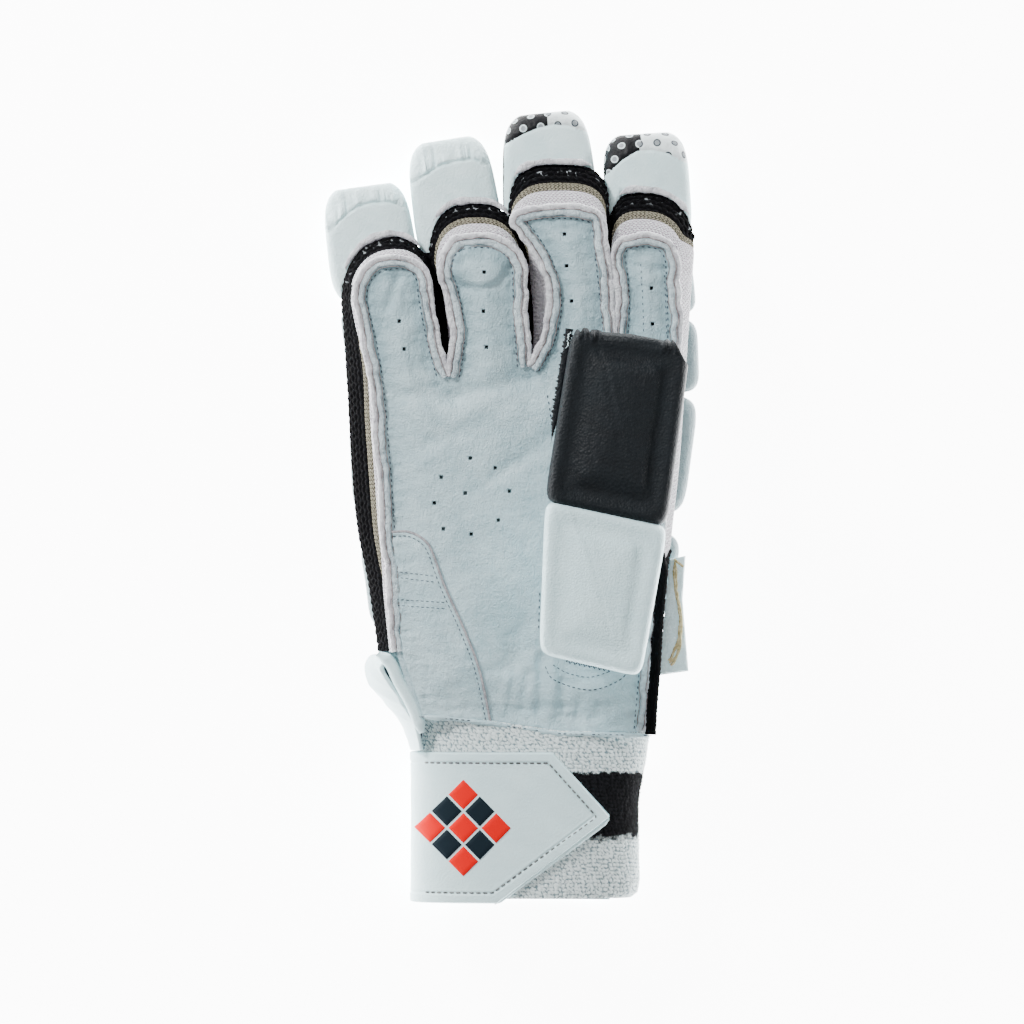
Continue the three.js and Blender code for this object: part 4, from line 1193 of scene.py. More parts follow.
def room_under_shell(plan):
    """How high a pad may be: under the shell's outline only as high as the rolls."""
    flat = plan.reshape(-1, 2)
    distance = nearest_on(flat, OUTER_LINE[::4])[0]
    signed = np.where(inside(flat, OUTER_LINE[::4]), distance, -distance).reshape(plan.shape[:2])
    return ROLL_TOP + 0.2 + (TIP_TOP + 2 - ROLL_TOP) * (1 - smooth((signed + 0.4) / 1.0))


def tip_print(finger, u, v, away, height, half_width, half_length):
    """Where the cap and its black half are, and the print laid out flat: over the top and on down
    the sides."""
    below = np.clip(TIP_TOP - 2 - height, 0, None)
    sideways = smooth((np.abs(u) - 0.75) / 0.2)
    flat_a = u * half_width + np.sign(u) * below * sideways
    flat_b = v * half_length + below * (1 - sideways)
    cap = smooth(away / 0.5 + 0.5)
    dark = np.zeros_like(u)
    if finger in CAP_SPLIT:
        dark = smooth((CAP_SPLIT[finger] - u) / 0.03 + 0.5) * cap
        cap = np.maximum(cap, smooth((-0.86 - u) / 0.05) * smooth((TIP_TOP - 2.6 - height) / 0.8))
        left_side = smooth((-0.80 - u) / 0.05) * smooth((TIP_TOP - 2.2 - height) / 0.8)
        dark = np.maximum(dark, left_side * smooth((v + 0.6) / 0.1))
    return {"cap": cap, "dark": dark, "print_a": flat_a, "print_b": flat_b}


def dotted_finish():
    """White leather with a printed cap: staggered round dots, each with a ring round it."""
    s = Shader("dotted_tip_finish", 0.5, Specular_IOR_Level=0.2)
    where = s.place()
    a, b, cap, dark = (s.attribute(key) for key in ("print_a", "print_b", "cap", "dark"))
    row = (b / DOT_ROW).whole()
    # A sine of a big number stands in for a random shift of each row
    jitter = (row * 12.9898).sine() * 0.3
    x = ((a / DOT_PITCH + row * 0.5 + jitter).fraction() - 0.5) * DOT_PITCH
    y = ((b / DOT_ROW).fraction() - 0.5) * DOT_ROW
    away = (x * x + y * y) ** 0.5
    core = 1 - away.between(DOT_RADIUS - 0.12, DOT_RADIUS + 0.12)
    ring = 1 - away.between(DOT_RADIUS + 0.38, DOT_RADIUS + 0.58)
    on_dark = s.mix(core, s.mix(ring, colour(4, 6, 11), colour(222, 236, 239)), colour(146, 154, 160))
    on_white = s.mix(core, s.mix(ring, colour(232, 243, 244), colour(56, 64, 70)), colour(136, 144, 148))
    cloud = s.noise(where, 60, 4).between(0.32, 0.66)
    plain = s.mix(cloud, colour(*TIP_DARK), colour(*TIP_PALE))
    print_tone = s.mix(dark.between(0.4, 0.6), on_white, on_dark)
    s.feed(Base_Color=s.mix(cap.between(0.4, 0.6), plain, print_tone))
    s.relief((s.noise(where, 170, 7, 0.72), 0.0004), (s.cells(where, SKIN_CELLS), 0.00012))
    return s.material


DOTTED = dotted_finish()
for finger in FINGERS:
    finish = DOTTED if finger in CAP_SPLIT else TIP
    obj = pillow_object(f"{finger}_tip_sewn", *tip_surface(finger))
    finish_piece(obj, finish, [f"{finger}_tip_pad"])

# %% [markdown]
# ## The back shell
# A stiff leather panel carries the rolls of the back. It is a sheet cut to the outer line of the
# whole hand, rounded off a little at its edge.

# %% Back shell


def edge_roll(plan, outline, width, drop):
    """How far a sheet's surface falls towards its edge."""
    edge = nearest_on(plan, outline)[0]
    return drop * (1 - np.sqrt(np.clip(1 - (1 - np.clip(edge / width, 0, 1)) ** 2, 0, 1)))


plan, faces = cut_sheet(OUTER_LINE[::2], 1.5)
height = SHELL_TOP - edge_roll(plan, OUTER_LINE[::4], 1.5, 0.5)
shell = leather_object("back_panel", plan, faces, height, 1.8)
finish_piece(shell, SHADED_WHITE, ["back_shell"])

# %% [markdown]
# ## The heel patch
# The heel of the hand wears first, so a second layer of leather is sewn over it, with its edge folded
# under. It is cut like the palm and follows the palm's height at the same place. A thin roll along
# its edge is the fold.

# %% Heel patch
PATCH = curve_through(at((-0.642, -0.063), (-0.547, -0.063), (-0.467, -0.083), (-0.424, -0.113),
                         (-0.360, -0.196), (-0.253, -0.309), (-0.173, -0.410), (-0.114, -0.541)), 160)
PATCH_LINE = np.vstack([PATCH, at((-0.472, -0.528), (-0.590, -0.364), (-0.622, -0.183))])
plan, faces = cut_sheet(PATCH_LINE, 0.7)
seam = move_in(PATCH, 1.6)
from_seam = nearest_on(plan, seam, closed=False)[0]
height = palm_height(plan) + 1.15 - edge_roll(plan, PATCH_LINE, 1.1, 0.8) - 0.35 * bump(from_seam, 0.7)
patch = leather_object("heel_patch_sewn", plan, faces, height, 1.0)
finish_piece(patch, PALM, ["heel_patch"])

edge = flat_tube(PATCH, palm_height(PATCH) + 0.55, 0.5, 0.55, 10)
finish_parts("heel_patch_edge", [edge], PIPING)

# %% [markdown]
# ## Webs between the fingers
# At each fork a narrow strip of black mesh joins the gussets of two fingers, so that nothing shows
# through between them. It fills the gap and goes a little way into both bands, where it is sewn.

# %% Webs between the fingers
WEB_RISES = (46, 60, 48)
WEB_POINTS = 50
# The corners of a web's section: across, in half widths, and up, in mm
WEB_CORNERS = ((-1, 0), (1, 0), (1, -1.2), (-1, -1.2))

webs = []
for left, right, rise in zip(FINGERS[:-1], FINGERS[1:], WEB_RISES):
    near = finger_line(left, "outer")[CAP_END - 20:][::-1]
    far = finger_line(right, "outer")[:CAP_START + 20]
    low = FORKS[FINGERS.index(left)][1]
    y = np.linspace(low - 3, low + rise, WEB_POINTS)
    near_x = np.interp(y, near[:, 1], near[:, 0])
    far_x = np.interp(y, far[:, 1], far[:, 0])
    x = (near_x + far_x) / 2
    half = np.clip((far_x - near_x) / 2, 0, 3) + 1.3
    corners = [np.column_stack([x + across * half, y, np.full(WEB_POINTS, GUSSET_BOTTOM + 2.5 + lifted)])
               for across, lifted in WEB_CORNERS]
    web = np.stack(corners, axis=1)
    webs.append((web, closed_tube(web)))
finish_parts("finger_webs", webs, BLACK_KNIT)

# %% [markdown]
# ## The thumb's sleeve
# A sleeve of leather stands on the palm round an opening for the thumb. It is a pillow with an open
# underside: its first rings run out from the mouth of the opening, and a wall is added inwards.

# %% Thumb sleeve
THUMB_SLEEVE = [(0.625, 0.392, 0.225, -12), (0.499, -0.015, 0.245, -11), (0.424, -0.352, 0.225, -8)]
THUMB_HOLE = at((0.430, -0.215))[0]
THUMB_HOLE_SIZE = np.array([24.0, 32.0])
SLEEVE_AROUND, SLEEVE_BASE_ROWS = 120, 7

rise = SLEEVE_TOP - SLEEVE_BOTTOM
side_rows = [(1, 3.2, 0.0), (1, 0.9, 1.6), (1, 0.2, 4.5), (1, 0.0, 8.0), (1, 0.6, 11.5), (1, 2.2, 14.2),
             (1, 4.6, 15.6)]
over = [(r, 4.6, 15.6 + (rise - 15.6) * (1 - r)) for r in np.linspace(1, 0, 12)[1:]]
grid = pillow(THUMB_SLEEVE, side_rows + over, 4, SLEEVE_AROUND)[0]
grid[..., 2] += SLEEVE_BOTTOM
turn = np.linspace(0, 2 * np.pi, SLEEVE_AROUND, endpoint=False)
mouth = THUMB_HOLE + np.stack([np.cos(turn), np.sin(turn)], axis=1) * THUMB_HOLE_SIZE / 2
way = np.linspace(0, 1, SLEEVE_BASE_ROWS, endpoint=False)[:, None, None]
base = np.dstack([mouth * (1 - way) + grid[0, :, :2] * way,
                  np.full((SLEEVE_BASE_ROWS, SLEEVE_AROUND), SLEEVE_BOTTOM)])
sleeve = pillow_object("thumb_sleeve_hide", np.concatenate([base, grid]))
wall = sleeve.modifiers.new("wall", "SOLIDIFY")
wall.thickness, wall.offset = 1.4 * MM, -1
finish_piece(sleeve, PALM, ["thumb_sleeve"])

# %% [markdown]
# ## The thumb's moulded pads
# Two moulded foam pads are glued and sewn to the sleeve, a black one over the tip and a white one
# below. Both have a soft trough inside their edge and a raised panel. The black pad's cover is
# gathered at its top, where it turns under. The pads are pillows too, with more rows for the edge.

# %% Moulded thumb pads
THUMB_BLACK = [(0.632, 0.425, 0.318, -8), (0.493, -0.020, 0.330, -12)]
THUMB_WHITE = [(0.501, -0.014, 0.332, -12), (0.413, -0.395, 0.276, -13)]
# The rows over a moulded pad's edge, trough and panel: inset and height in mm
MOULDED = np.array([(1.0, 0.0), (0.3, 0.8), (0.0, 2.4), (0.0, 5.4), (0.2, 8.2), (0.7, 9.6), (1.6, 10.5),
                    (2.8, 10.9), (4.2, 10.8), (5.6, 10.5), (7.0, 10.4), (8.6, 10.7), (10.2, 11.3),
                    (11.8, 11.9), (13.4, 12.3), (14.6, 12.5)])
TROUGH = 10.4
MOULDED_SQUARE, MOULDED_AROUND = 12, 480


def moulded_pad(name, stations, node, material, gather, seed, depth):
    """A moulded pad. gather: how far its top edge is puckered, in mm. depth: how much of the
    panel's height over the trough it has."""
    under = [(r, 1.0, 0.0) for r in np.linspace(0, 1, 6)[:-1]]
    inner = [(r, 14.6, 12.5 + 0.7 * (1 - r ** 2)) for r in np.linspace(1, 0, 20)[1:]]
    rows = [(1, inset, height) for inset, height in curve_through(MOULDED, 54)]
    grid, u, v = pillow(apart(*stations, gap=0), under + rows + inner, MOULDED_SQUARE, MOULDED_AROUND)
    height = grid[..., 2]
    panel = smooth((height - TROUGH) / 2)
    grid[..., 0] += 1.2 * panel
    grid[..., 1] += 0.5 * panel
    # The panel of the lower pad is shallower; the upper pad's top right corner is cut off
    grid[..., 2] = np.where(height > TROUGH, TROUGH + (height - TROUGH) * depth, height)
    corner = np.clip(1 - (1 - u) / 0.31 - (1 - v) / 0.23, 0, None) * (gather > 0)
    grid[..., 0] -= 3.4 * corner
    grid[..., 1] -= 3.7 * corner
    scallops = np.abs(np.sin(np.pi * (u * 6 + 0.5 * ripple(u * 5, seed, 5, 3)))) ** 0.6 - 0.5
    at_top = smooth((v - 0.84) / 0.1) * (1 - smooth((np.abs(u) - 0.90) / 0.08))
    grid[..., 1] += gather * at_top * scallops * smooth(height / 3) * (1 - panel)
    pucker = gather * 0.5 * at_top * ripple(u * 8 + v, seed + 1, 10, 2.2)
    grid[..., 2] += pucker * smooth((height - 7) / 3) * (1 - panel)
    grid[..., 2] += 0.18 * ripple(u * 2 + v, seed + 2, 5, 1.6) * smooth((height - 5) / 4)
    grid[..., 2] += THUMB_PAD_BOTTOM
    finish_piece(pillow_object(name, grid), material, [node])


moulded_pad("thumb_black_moulded", THUMB_BLACK, "thumb_black_pad", THUMB_BLACK_FINISH,
            gather=1.9, seed=41, depth=1.0)
moulded_pad("thumb_white_moulded", THUMB_WHITE, "thumb_white_pad", THUMB_WHITE_FINISH,
            gather=0.0, seed=47, depth=0.7)

# %% [markdown]
# ## The black pad's torn edge
# Under the black pad's left edge its cover ends in a ragged strip, with two tufts of white stuffing
# showing. Both follow a line just outside the pad, from below its middle up to its top.

# %% The black pad's torn edge
EDGE_POINTS, TUFT_POINTS = 220, 18
# Where a tuft starts, as a share of the line, and its half width in mm
TUFTS = ((0.83, 0.26), (0.90, 0.32))

down = np.linspace(1.0, -0.35, EDGE_POINTS)
edge_line = on_stations(apart(*THUMB_BLACK), np.full(EDGE_POINTS, -1.0), down)
edge_line = move_in(edge_line[::-1], -0.9)
u = path_length(edge_line)
width = (1.0 + 0.9 * np.abs(ripple(u, 170, 8, 5))) * smooth(u / 12)
edge = flat_tube(edge_line, THUMB_PAD_BOTTOM + 3.0, width, 0.5, 10)
finish_parts("thumb_cover_edge", [edge], THUMB_BLACK_FINISH)
side, up = flat_sides(edge_line)
tufts = []
for number, (start, size) in enumerate(TUFTS):
    part = slice(int(start * (EDGE_POINTS - 1)), int(start * (EDGE_POINTS - 1)) + TUFT_POINTS)
    piece = edge_line[part]
    piece = move_in(piece, 0.3 + 0.5 * ripple(path_length(piece), 181 + number, 4, 3))
    bulge = np.sin(np.linspace(0.15, np.pi - 0.15, TUFT_POINTS)) * size
    tuft = tube(lift(piece, THUMB_PAD_BOTTOM + 3.6), side[part], up[part], bulge, bulge * 0.6, 8)
    tufts.append((tuft, closed_tube(tuft)))
finish_parts("thumb_stuffing", tufts, TIP)

# %% [markdown]
# ## The cuff
# The wrist is a tube of white towelling knit with a broad black band. Its section is a squared oval.
# The loops of the towelling are relief, in rows that change places, a little uneven in height.

# %% Cuff
CUFF_CENTRE = 0.094 * HALF_WIDTH + shift[0]
CUFF_HALF = 42.0
CUFF_SQUARE = 2.5
CUFF_MIDDLE = (CUFF_TOP + CUFF_BOTTOM) / 2
CUFF_RISE = (CUFF_TOP - CUFF_BOTTOM) / 2
CUFF_END = at((0, -0.985))[0, 1]
BAND_TOP, BAND_END = -97.2, -120.6
# How wide the cuff is on its way from the wrist to its end
CUFF_WAY = [0, 0.30, 0.45, 0.75, 0.90, 0.97, 1]
CUFF_WIDTHS = np.array([1.0, 0.985, 0.962, 0.966, 0.972, 0.95, 0.90]) * CUFF_HALF
CUFF_WALL = 2.3
# The loops' pitch along and round the cuff, and how far they stand out, in mm
LOOP_ROW, LOOP_WIDTH = 1.45, 1.75
LOOP_HEIGHT, LOOP_FOOT = 0.9, -0.6
# The low colours are shade painted at the feet of the loops
WHITE_LOW, WHITE_HIGH = (128, 150, 157), (243, 255, 255)
BLACK_LOW, BLACK_HIGH = (6, 7, 9), (20, 21, 24)


def seam_y(x):
    return np.interp(x, WRIST_SEAM[:, 0], WRIST_SEAM[:, 1])


def cuff_ring(count):
    """Turns at which the points of the cuff's section are evenly spaced."""
    turn = np.linspace(0, 2 * np.pi, 4000)
    x = power(np.cos(turn), 2 / CUFF_SQUARE) * CUFF_HALF
    z = power(np.sin(turn), 2 / CUFF_SQUARE) * CUFF_RISE
    travelled = path_length(np.stack([x, z], axis=1))
    places = np.linspace(0, travelled[-1], count, endpoint=False)
    return np.interp(places, travelled, turn), travelled[-1]


def cuff_place(turn, half, grow):
    """The x and z of a turn round the cuff's section, half wide and grown by a few mm."""
    x = CUFF_CENTRE + power(np.cos(turn), 2 / CUFF_SQUARE) * (half + grow)
    z = CUFF_MIDDLE + power(np.sin(turn), 2 / CUFF_SQUARE) * (CUFF_RISE + grow)
    return np.broadcast_arrays(x, z)


AROUND, DOWN = 440, 122
turn, girth = cuff_ring(AROUND)
way = np.linspace(0, 1, DOWN)
half = np.interp(way, CUFF_WAY, CUFF_WIDTHS)
x, z = cuff_place(turn[None], half[:, None], 0.0)
x = x + 2.3 * (1 - smooth(way / 0.4))[:, None] * smooth(np.cos(turn))[None]
top = seam_y(x[0]) + 0.9
y = top[None] * (1 - way[:, None]) + CUFF_END * way[:, None]
outer = np.dstack([x, y, z])
u = np.linspace(0, girth, AROUND, endpoint=False)[None] + 0 * y
row = y / LOOP_ROW + 0.25 * ripple(u, 14, 8, 9)
across = u / LOOP_WIDTH + np.floor(row) / 2 + 0.45 * ripple(y + 0.4 * u, 4, 8, 7)
loop = np.abs(np.sin(np.pi * across)) ** 0.8
loop = loop * np.abs(np.sin(np.pi * row)) ** 0.7
loop *= 0.70 + 0.45 * ripple(u + 3 * y, 6, 8, 9) * ripple(u - 2 * y, 9, 8, 11)
sag = 0.5 * ripple(u, 15, 5, 60) * np.sin(np.pi * way[:, None])
out = np.dstack([x - CUFF_CENTRE, 0 * x, (z - CUFF_MIDDLE) * 2.2])
out /= np.linalg.norm(out, axis=-1, keepdims=True)
outer += out * (LOOP_HEIGHT * loop + LOOP_FOOT + sag * 0.5)[..., None]
x, z = cuff_place(turn[None], half[::-12, None], -CUFF_WALL)
inner = np.dstack([x, y[::-12], z])
grid = np.concatenate([outer, inner])
rows, columns = grid.shape[:2]
faces = grid_faces(rows, columns, wrap_rows=True, wrap_columns=True)
value = np.zeros((rows, columns))
value[:DOWN] = loop
cuff = make_object("cuff_towelling", grid, faces, attributes={"loop": value})
print("girth of the cuff in mm", round(float(girth), 1))

# %% [markdown]
# ## The towelling's finish
# The band is the same knit in black, so one shader makes both and changes over at its edges, which
# are a little fuzzy. The loops' height is a number at each point, and shade is painted at the feet of the
# loops, which are darker.

# %% Finish of the cuff
s = Shader("cuff_finish", 0.95, Specular_IOR_Level=0.15)
where = s.place()
_, along, _ = s.parts(where)
fuzz = s.noise(where, 260, 4, 0.75) * 0.006 - 0.003
black = (along + fuzz).between((BAND_TOP + 0.5) * MM, (BAND_TOP - 0.5) * MM)
black = black * (along + fuzz * 1.6).between((BAND_END - 2.2) * MM, (BAND_END + 0.6) * MM)
# Painted shade: the feet of the loops take the darker colour
share = (s.attribute("loop") * 0.8 + s.noise(where, 700, 3) * 0.5).between(0.26, 0.62)
white = s.mix(share, colour(*WHITE_LOW), colour(*WHITE_HIGH))
dark = s.mix(share, colour(*BLACK_LOW), colour(*BLACK_HIGH))
s.feed(Base_Color=s.mix(black, white, dark))
s.relief((s.noise(where, 1300, 4, 0.8), 0.0005))
finish_piece(cuff, s.material, ["cuff_knit"])

# %% [markdown]
# ## The strap
# A leather strap holds the glove at the wrist. It runs from under the cuff round its side and over
# the top to a point, where hook-and-loop tape holds it. It is worked out unrolled: s goes round the
# cuff's section and y across the strap. The distance to the strap's edge gives the rounded edge, the
# folded border and the groove of the stitch line.

# %% Strap
STRAP_TOP_Y, STRAP_LOW_Y = at((0, -0.616), (0, -0.997))[:, 1]
STRAP_TIP = at((0.520, -0.779))[0]
UPPER_CORNER, LOWER_CORNER = at((0.216, 0), (-0.077, 0))[:, 0]
STRAP_GAP, STRAP_WALL = 0.3, 1.7

angles = np.radians(np.linspace(-50, -225, 700))
rim = np.stack(cuff_place(angles, CUFF_HALF, STRAP_GAP), axis=1)
over_x = np.linspace(rim[-1, 0], STRAP_TIP[0], 500)[1:]
reach = np.abs((over_x - CUFF_CENTRE) / (CUFF_HALF + STRAP_GAP)) ** CUFF_SQUARE
over_z = CUFF_MIDDLE + (CUFF_RISE + STRAP_GAP) * (1 - reach) ** (1 / CUFF_SQUARE)
rim = resample(np.vstack([rim, np.stack([over_x, over_z], axis=1)]), 1200)
rim_s = path_length(rim)
last_turn = rim_s[np.flatnonzero(rim[:, 1] > CUFF_MIDDLE)[0]]


def strap_s(x):
    """The distance round the section at which the top of the strap is over an x."""
    over = rim_s > last_turn
    return np.interp(x, rim[over, 0], rim_s[over])


def strap_point(s, y, lift_by):
    """The point of the strap at s and y, lifted off the cuff."""
    x, z = np.interp(s, rim_s, rim[:, 0]), np.interp(s, rim_s, rim[:, 1])
    slope = direction_of(rim)
    nx, nz = -np.interp(s, rim_s, slope[:, 1]), np.interp(s, rim_s, slope[:, 0])
    return np.stack([x + nx * lift_by, y, z + nz * lift_by], axis=-1)


s_end = rim_s[-1]
STRAP_OUTLINE = np.array([(0, STRAP_LOW_Y), (0, STRAP_TOP_Y), (strap_s(UPPER_CORNER), STRAP_TOP_Y),
                          (s_end, STRAP_TIP[1]), (strap_s(LOWER_CORNER), STRAP_LOW_Y)])
under_cuff, over_cuff = np.linspace(0, strap_s(-35), 90), np.linspace(strap_s(-35), s_end - 0.4, 200)
s_rows = np.concatenate([under_cuff[:-1], over_cuff])
upper = np.interp(s_rows, [strap_s(UPPER_CORNER), s_end], [STRAP_TOP_Y, STRAP_TIP[1] + 0.3])
lower = np.interp(s_rows, [strap_s(LOWER_CORNER), s_end], [STRAP_LOW_Y, STRAP_TIP[1] - 0.3])
t = (1 - np.cos(np.linspace(0, np.pi, 130))) / 2
t = 0.5 * t + 0.5 * np.linspace(0, 1, 130)
ys = lower[:, None] + (upper - lower)[:, None] * t
ss = np.broadcast_to(s_rows[:, None], ys.shape)
flat = np.stack([ss.ravel(), ys.ravel()], axis=1)
edge = nearest_on(flat, STRAP_OUTLINE)[0].reshape(ys.shape)
thick = STRAP_WALL * np.sqrt(np.clip(1 - (1 - np.clip(edge / 0.8, 0, 1)) ** 2, 0, 1))
thick -= 0.45 * bump(edge - 4.0, 0.5)
thick -= 0.25 * smooth((edge - 4.0) / 1.5)
thick += 0.10 * ripple(ss * 0.5 + ys, 33, 5, 40)
front = strap_point(ss, ys, thick)
back = strap_point(ss, ys, 0.0)[:, ::-1][:, 1:-1:8]
grid = np.concatenate([front, back], axis=1)
strap = make_object("strap_sewn", grid, closed_tube(grid))
finish_piece(strap, STRAP, ["wrist_strap"])

# The strap is folded double: its lower layer shows as a second edge along the lower diagonal
low_s = np.linspace(strap_s(LOWER_CORNER) - 1.0, s_end - 0.2, 160)
low_y = np.linspace(STRAP_LOW_Y - 0.2, STRAP_TIP[1] - 0.8, 160)
centre = strap_point(low_s, low_y, 0.45)
travel = direction_of(centre)
side = np.cross(travel, (0, 0, 1.0))
side /= np.linalg.norm(side, axis=1, keepdims=True)
up = np.cross(side, travel)
fade = np.minimum(smooth(np.arange(160) / 8), smooth((159 - np.arange(160)) / 8))
grid = tube(centre, side, up, 0.2 + 0.75 * fade, 0.15 + 0.35 * fade, 10)
finish_piece(make_object("strap_lining", grid, closed_tube(grid)), STRAP)

# %% [markdown]
# ## The strap's print
# Nine lozenges, red and slate by turns, make a square of three by three that stands on its corner.
# Each is a thin raised cushion with a rounded rim. They are laid out as seen from above and follow
# the strap, so the ones at the bend are stretched when they are seen from the side.

# %% Print on the strap
PRINT_CENTRE = at((-0.2533, -0.8065))[0]
LOZENGE = np.array([5.9, 6.1])
CORNERS = np.array([(1, 0), (0, 1), (-1, 0), (0, -1), (1, 0)], float)
# The rings of a lozenge: its size as a share, and its height over the cuff in mm
RINGS = ((0.0, 1.0), (0.90, 1.0), (0.90, 1.62), (0.84, 1.80), (0.5, 1.82), (0.0, 1.82))

red, slate = [], []
for i in range(3):
    for j in range(3):
        middle = PRINT_CENTRE + np.array([i - j, i + j - 2]) * LOZENGE
        rings = []
        for share, up in RINGS:
            ring = resample(CORNERS * LOZENGE * share, 33)[:-1] if share else np.zeros((32, 2))
            ring = ring + middle
            rings.append(strap_point(strap_s(ring[:, 0]), ring[:, 1], up))
        (red if (i + j) % 2 == 0 else slate).append(closed_ring_grid(np.array(rings))[:2])
for name, parts, tone in (("strap_print_red", red, (228, 0, 4)),
                          ("strap_print_slate", slate, (20, 32, 40))):
    s = Shader(name, 0.6, Specular_IOR_Level=0.08)
    s.surface.inputs["Base Color"].default_value = colour(*tone)
    finish_parts(name, parts, s.material)

# %% [markdown]
# ## The wrist loop
# Beside the wrist the back's leather is turned over into a loop that the strap passes through: an
# outer wall, a rolled lip inside it, and a slit between, whose shade is painted as a dark sheet. The wall
# and the sheet are surfaces between two lines, and the lip is a tube along one.

# %% Wrist loop
LIP_POINTS = 120
LOOP_LOWER = curve_through(at((-0.545, -0.612), (-0.600, -0.545), (-0.685, -0.492), (-0.765, -0.450),
                              (-0.792, -0.412), (-0.765, -0.378), (-0.700, -0.368)), 160)
LOOP_UPPER = curve_through(at((-0.490, -0.612), (-0.520, -0.548), (-0.590, -0.494), (-0.648, -0.450),
                              (-0.690, -0.420), (-0.698, -0.402), (-0.680, -0.390)), 160)
LOOP_LIP = curve_through(at((-0.478, -0.568), (-0.526, -0.505), (-0.600, -0.440), (-0.650, -0.392),
                            (-0.715, -0.368)), LIP_POINTS)
LOOP_BASE = GUSSET_BOTTOM + 0.6
SLIT_TOP = GUSSET_TOP - 5.0


def loop_wall(lower, upper, low, high, wall, bulge, seed):
    """A leather wall between two lines, swelling outwards half way up."""
    t = np.linspace(0, 1, 24)[None, :, None]
    plan = lower[:, None] * (1 - t) + upper[:, None] * t
    z = np.broadcast_to(low + (high - low) * np.linspace(0, 1, 24), plan.shape[:2])
    face = np.dstack([plan, z])
    normal = normals_of(face)
    normal = np.where(normal[..., 2:] < 0, -normal, normal)
    u = path_length(lower)[:, None]
    swell = bulge * np.sin(np.pi * t[..., 0]) + 0.25 * ripple(u + 6 * t[..., 0], seed, 5, 24)
    grid = np.concatenate([face + normal * swell[..., None], (face - normal * wall)[:, ::-1]], axis=1)
    return grid, closed_tube(grid)


wall = loop_wall(LOOP_LOWER, LOOP_UPPER, LOOP_BASE, GUSSET_TOP, 1.3, 1.0, 71)
lip_z = np.linspace(PALM_BOTTOM - 0.5, PALM_BOTTOM - 0.2, LIP_POINTS)
step = np.arange(LIP_POINTS)
fade = np.minimum(smooth(step / 14), smooth((LIP_POINTS - 1 - step) / 14))
rolled = flat_tube(LOOP_LIP, lip_z, 1.2 + 1.1 * fade, 1.0 + 0.9 * fade, 16)
inner = resample(LOOP_LIP, len(LOOP_UPPER))
# A dark sheet in the slit: painted shade in the loop's opening
slit = np.stack([lift(LOOP_UPPER, SLIT_TOP), lift(inner, SLIT_TOP),
                 lift(inner, SLIT_TOP - 1.0), lift(LOOP_UPPER, SLIT_TOP - 1.0)], axis=1)
finish_piece(make_object("loop_slit_shadow", slit, closed_tube(slit)), THREAD)
points, faces = join([wall, rolled])
loop_object = make_object("wrist_loop_sewn", points, faces)
finish_piece(loop_object, STRAP, ["wrist_loop"])

# %% [markdown]
# ## The side flap
# On the thumb side a loose flap of leather hangs from the shell, with tacking threads left in it. It
# is a cut sheet. The threads are thin tubes along lines read from the photograph.

# %% Side flap and tacking threads
FLAP = at((0.790, -0.138), (0.931, -0.123), (0.915, -0.234), (0.947, -0.415), (0.800, -0.425),
          (0.740, -0.425))
flap_line = np.vstack([np.linspace(a, b, 20, endpoint=False) for a, b in zip(FLAP, np.roll(FLAP, -1, 0))])
plan, faces = cut_sheet(flap_line, 0.6)
# Only the part outside the shell's outline is kept
outside = ~inside(plan, OUTER_LINE)
out_far = nearest_on(plan, OUTER_LINE)[0]
whole = np.all(outside[faces] & (out_far[faces] > 0.35), axis=1)
used = np.zeros(len(plan), bool)
used[faces[whole]] = True
faces = (np.cumsum(used) - 1)[faces[whole]]
plan = plan[used]
height = bottom_of("side_flap") + 1.3 - edge_roll(plan, flap_line, 0.9, 0.5)
height += 0.25 * ripple(plan[:, 1], 81, 4, 30)
flap = leather_object("side_flap_sewn", plan, faces, height, 1.1)
finish_piece(flap, TIP, ["side_flap"])

# Five loose strands of tacking thread: x and y in shares
TACKING = [
    [(0.872, -0.138), (0.880, -0.190), (0.893, -0.250), (0.905, -0.300), (0.885, -0.350), (0.845, -0.395)],
    [(0.868, -0.160), (0.884, -0.220), (0.898, -0.275), (0.897, -0.330), (0.860, -0.375), (0.838, -0.388)],
    [(0.900, -0.300), (0.898, -0.345), (0.872, -0.390), (0.850, -0.400)],
    [(0.868, -0.132), (0.920, -0.150)],
    [(0.878, -0.142), (0.874, -0.210), (0.903, -0.262), (0.911, -0.318), (0.892, -0.362), (0.852, -0.392)],
]
threads = []
for number, strand in enumerate(TACKING):
    line = curve_through(at(*strand), 90)
    u = path_length(line)
    line = move_in(line, 0.4 * ripple(u, 140 + number, 5, 24))
    z = bottom_of("side_flap") + 1.55 + 0.3 * ripple(u, 150 + number, 4, 12)
    threads.append(flat_tube(line, z, 0.44, 0.4, 8))
finish_parts("tacking_threads", threads, YELLOW_THREAD)

# %% [markdown]
# ## Trim at the thumb and the wrist
# A strip of black mesh with a fringe of loops runs down beside the thumb. At the wrist the palm's
# edge is turned up and sewn to the cuff, as a lip like those at the fingers.

# %% Trim at the thumb and the wrist
strip = curve_through(at((0.806, -0.115), (0.797, -0.190), (0.783, -0.260), (0.772, -0.330),
                         (0.764, -0.400), (0.750, -0.480), (0.738, -0.572)), 260)
u = path_length(strip)
fringe = 0.22 * np.abs(np.sin(np.pi * u / 1.9 + ripple(u, 211, 6, 9)))
width = (1.9 + fringe) * (0.35 + 0.65 * smooth(u / 8))
edge = flat_tube(strip, PALM_BOTTOM + 1.9, width, 0.8, 12)
finish_parts("thumb_side_mesh", [edge], BLACK_KNIT)

wrist = resample(WRIST_SEAM, 200)
grid, faces = lip(wrist[::-1], -0.2, 0.9, 1.0, 0.9, 160, wave=0.35)
finish_piece(make_object("wrist_seam", grid, faces), PALM)

